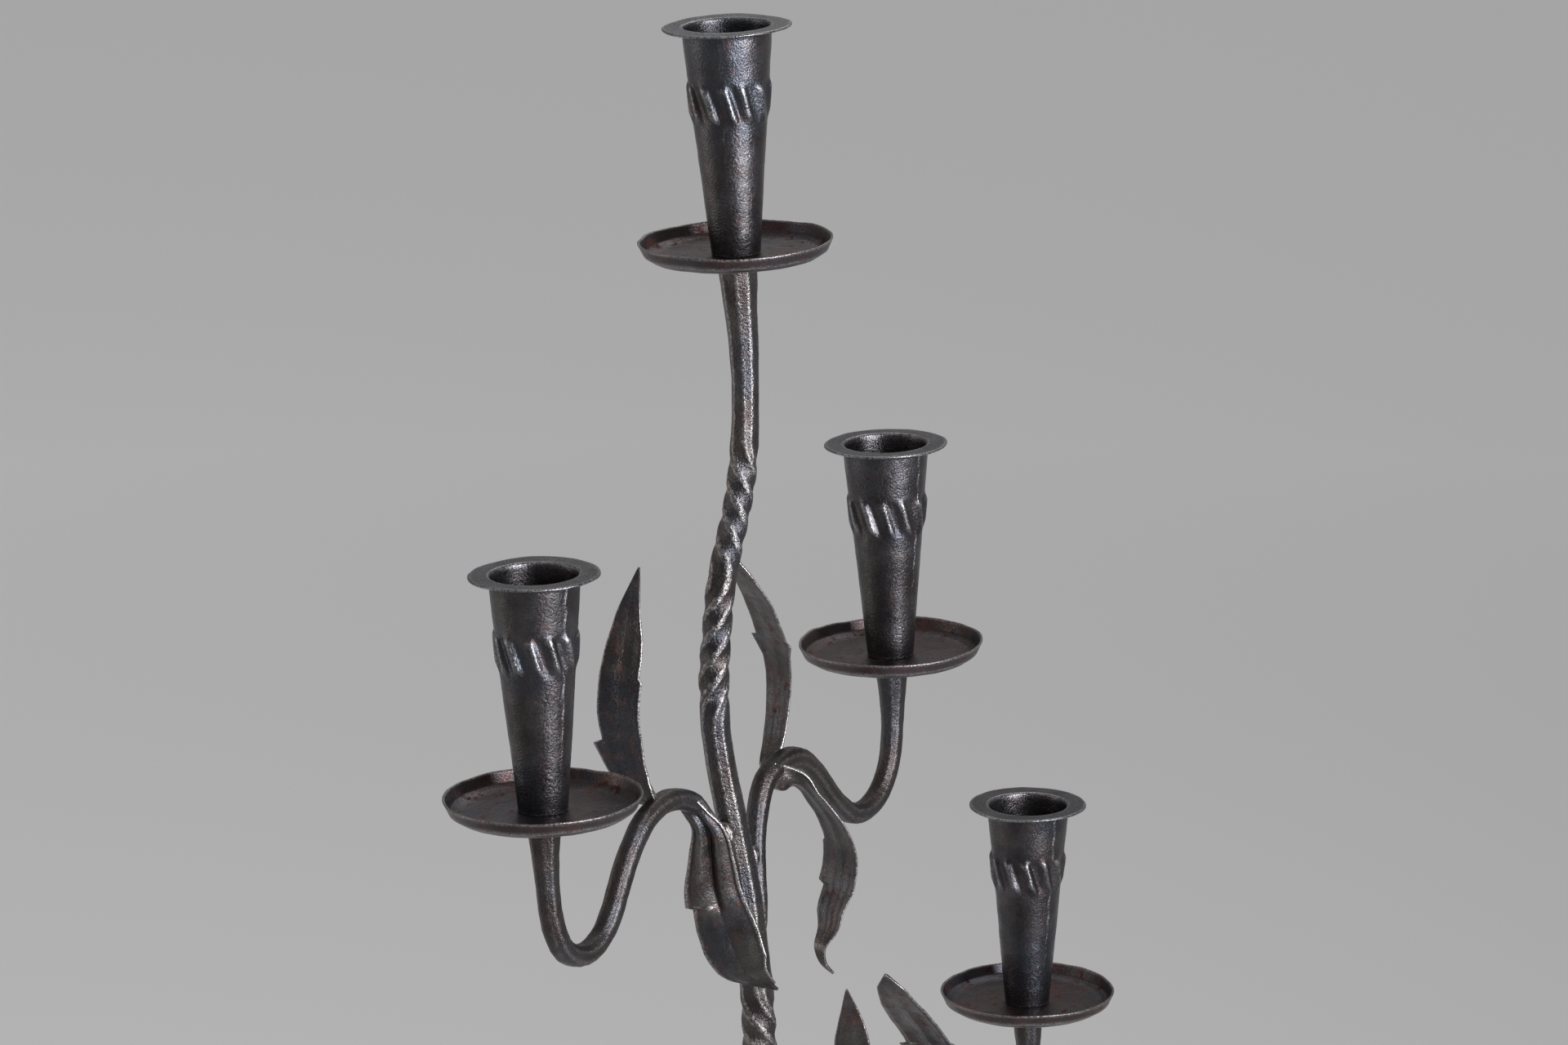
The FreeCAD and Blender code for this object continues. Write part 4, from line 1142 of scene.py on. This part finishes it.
floor_shape = bmesh.new()
bmesh.ops.create_grid(floor_shape, x_segments=2, y_segments=2, size=FLOOR_HALF)
floor_mesh = bpy.data.meshes.new("floor")
floor_shape.to_mesh(floor_mesh)
floor_shape.free()
floor = bpy.data.objects.new("floor", floor_mesh)
bpy.context.scene.collection.objects.link(floor)
print("floor:", 2 * FLOOR_HALF, "m wide")

# %% [markdown]
# Matt grey paper scatters all light, so it is rough and has no pattern.

# %% Grey paper
paper = bpy.data.materials.new("grey_paper")
paper.use_nodes = True
tree = paper.node_tree
shader = tree.nodes["Principled BSDF"]
place = add_node(tree, "TexCoord").outputs["Object"]
far = add_node(tree, "VectorMath", None, {0: place}, operation="LENGTH").outputs["Value"]
shade = add_node(tree, "MapRange", {"From Min": NEAR, "From Max": FAR}, {"Value": far})
values = {COLOUR_A: linear("#d6d5d4"), COLOUR_B: linear("#fafaf9")}
tone = add_node(tree, "Mix", values, {"Factor": shade.outputs["Result"]}, data_type="RGBA")
tree.links.new(tone.outputs[MIXED], shader.inputs["Base Color"])
shader.inputs["Roughness"].default_value = 0.9
floor_mesh.materials.append(paper)
print("material:", paper.name)

# %% [markdown]
# The sky is soft and even all round. It is bright at the horizon, dark a little above
# it, which is what the brims and the floors of the pans mirror, and bright again
# overhead, where most of the light on the floor comes from.

# %% Sky
scene = bpy.context.scene
scene.view_settings.view_transform = "Standard"
world = bpy.data.worlds.new("studio")
scene.world = world
world.use_nodes = True
tree = world.node_tree
background = tree.nodes["Background"]
up = add_node(tree, "TexCoord").outputs["Generated"]
# The height is 0 at the horizon and 1 overhead
height = add_node(tree, "SeparateXYZ", None, {0: up}).outputs["Z"]
values = {"From Min": 0.03, "From Max": 0.22, "To Min": 0.55, "To Max": 0.18}
low = add_node(tree, "MapRange", values, {"Value": height}).outputs["Result"]
values = {"From Min": 0.35, "From Max": 0.8, "To Min": 0, "To Max": 0.38}
high = add_node(tree, "MapRange", values, {"Value": height}).outputs["Result"]
glow = add_node(tree, "Math", None, {0: low, 1: high}, operation="ADD")
tree.links.new(glow.outputs[0], background.inputs["Strength"])
background.inputs["Color"].default_value = linear("#f4f4f6")
print("sky:", world.name)

# %% [markdown]
# The camera's place was worked out from the photograph: the round pans and brims at
# different heights show as ellipses, and their shapes fix where the lens was. The
# lights are placed to the right of, beyond and above the point that it looks at.

# %% Directions in the studio
CAMERA_PLACE = Vector((-2.4808, -1.5618, 1.7505))
CAMERA_AIM = Vector((0.0155, -0.0252, 1.0012))
UPWARD = Vector((0, 0, 1))
sight = CAMERA_AIM - CAMERA_PLACE
FORWARD = Vector((sight.x, sight.y, 0)).normalized()
RIGHT = FORWARD.cross(UPWARD)
print("camera to stand:", round(sight.length, 2), "m")

# %% [markdown]
# The iron is dark, so the eye sees mostly the lamps in it: a tall soft box in front on
# the right, a weak one on the left, and a broad one above and behind that draws the
# rims. The first is shaded to a narrow beam, which keeps it off the floor.

# %% Soft boxes
def soft_box(name, place, width, height, watts, code, beam=180):
    """A lamp this far right of, beyond and above the camera's aim, in metres."""
    lamp = bpy.data.lights.new(name, "AREA")
    lamp.spread = math.radians(beam)
    lamp.shape = "RECTANGLE"
    lamp.size = width
    lamp.size_y = height
    lamp.energy = watts
    lamp.color = linear(code)[:3]
    box = bpy.data.objects.new(name, lamp)
    scene.collection.objects.link(box)
    box.location = CAMERA_AIM + RIGHT * place[0] + FORWARD * place[1] + UPWARD * place[2]
    box.rotation_euler = (CAMERA_AIM - box.location).to_track_quat("-Z", "Y").to_euler()
    print(name, watts, "W")


soft_box("key", (1.45, -1.6, 0.25), width=0.42, height=1.5, watts=31, code="#f6f8ff", beam=85)
soft_box("fill", (-2.3, 0.1, 0.1), width=0.4, height=1.8, watts=12, code="#fff6ee")
soft_box("rim", (0.4, 1.7, 1.7), width=1.8, height=0.9, watts=14, code="#ffffff")

# %% [markdown]
# The camera is a long lens about 3 m from the stand and half a metre above its top
# light, looking down 14 degrees.

# %% Camera
SENSOR_WIDTH = 36.0
FOCAL_LENGTH = 140.85
lens = bpy.data.cameras.new("camera")
lens.sensor_width = SENSOR_WIDTH
lens.lens = FOCAL_LENGTH
camera = bpy.data.objects.new("camera", lens)
scene.collection.objects.link(camera)
camera.location = CAMERA_PLACE
camera.rotation_euler = (CAMERA_AIM - CAMERA_PLACE).to_track_quat("-Z", "Y").to_euler()
scene.camera = camera
print("lens:", FOCAL_LENGTH, "mm")
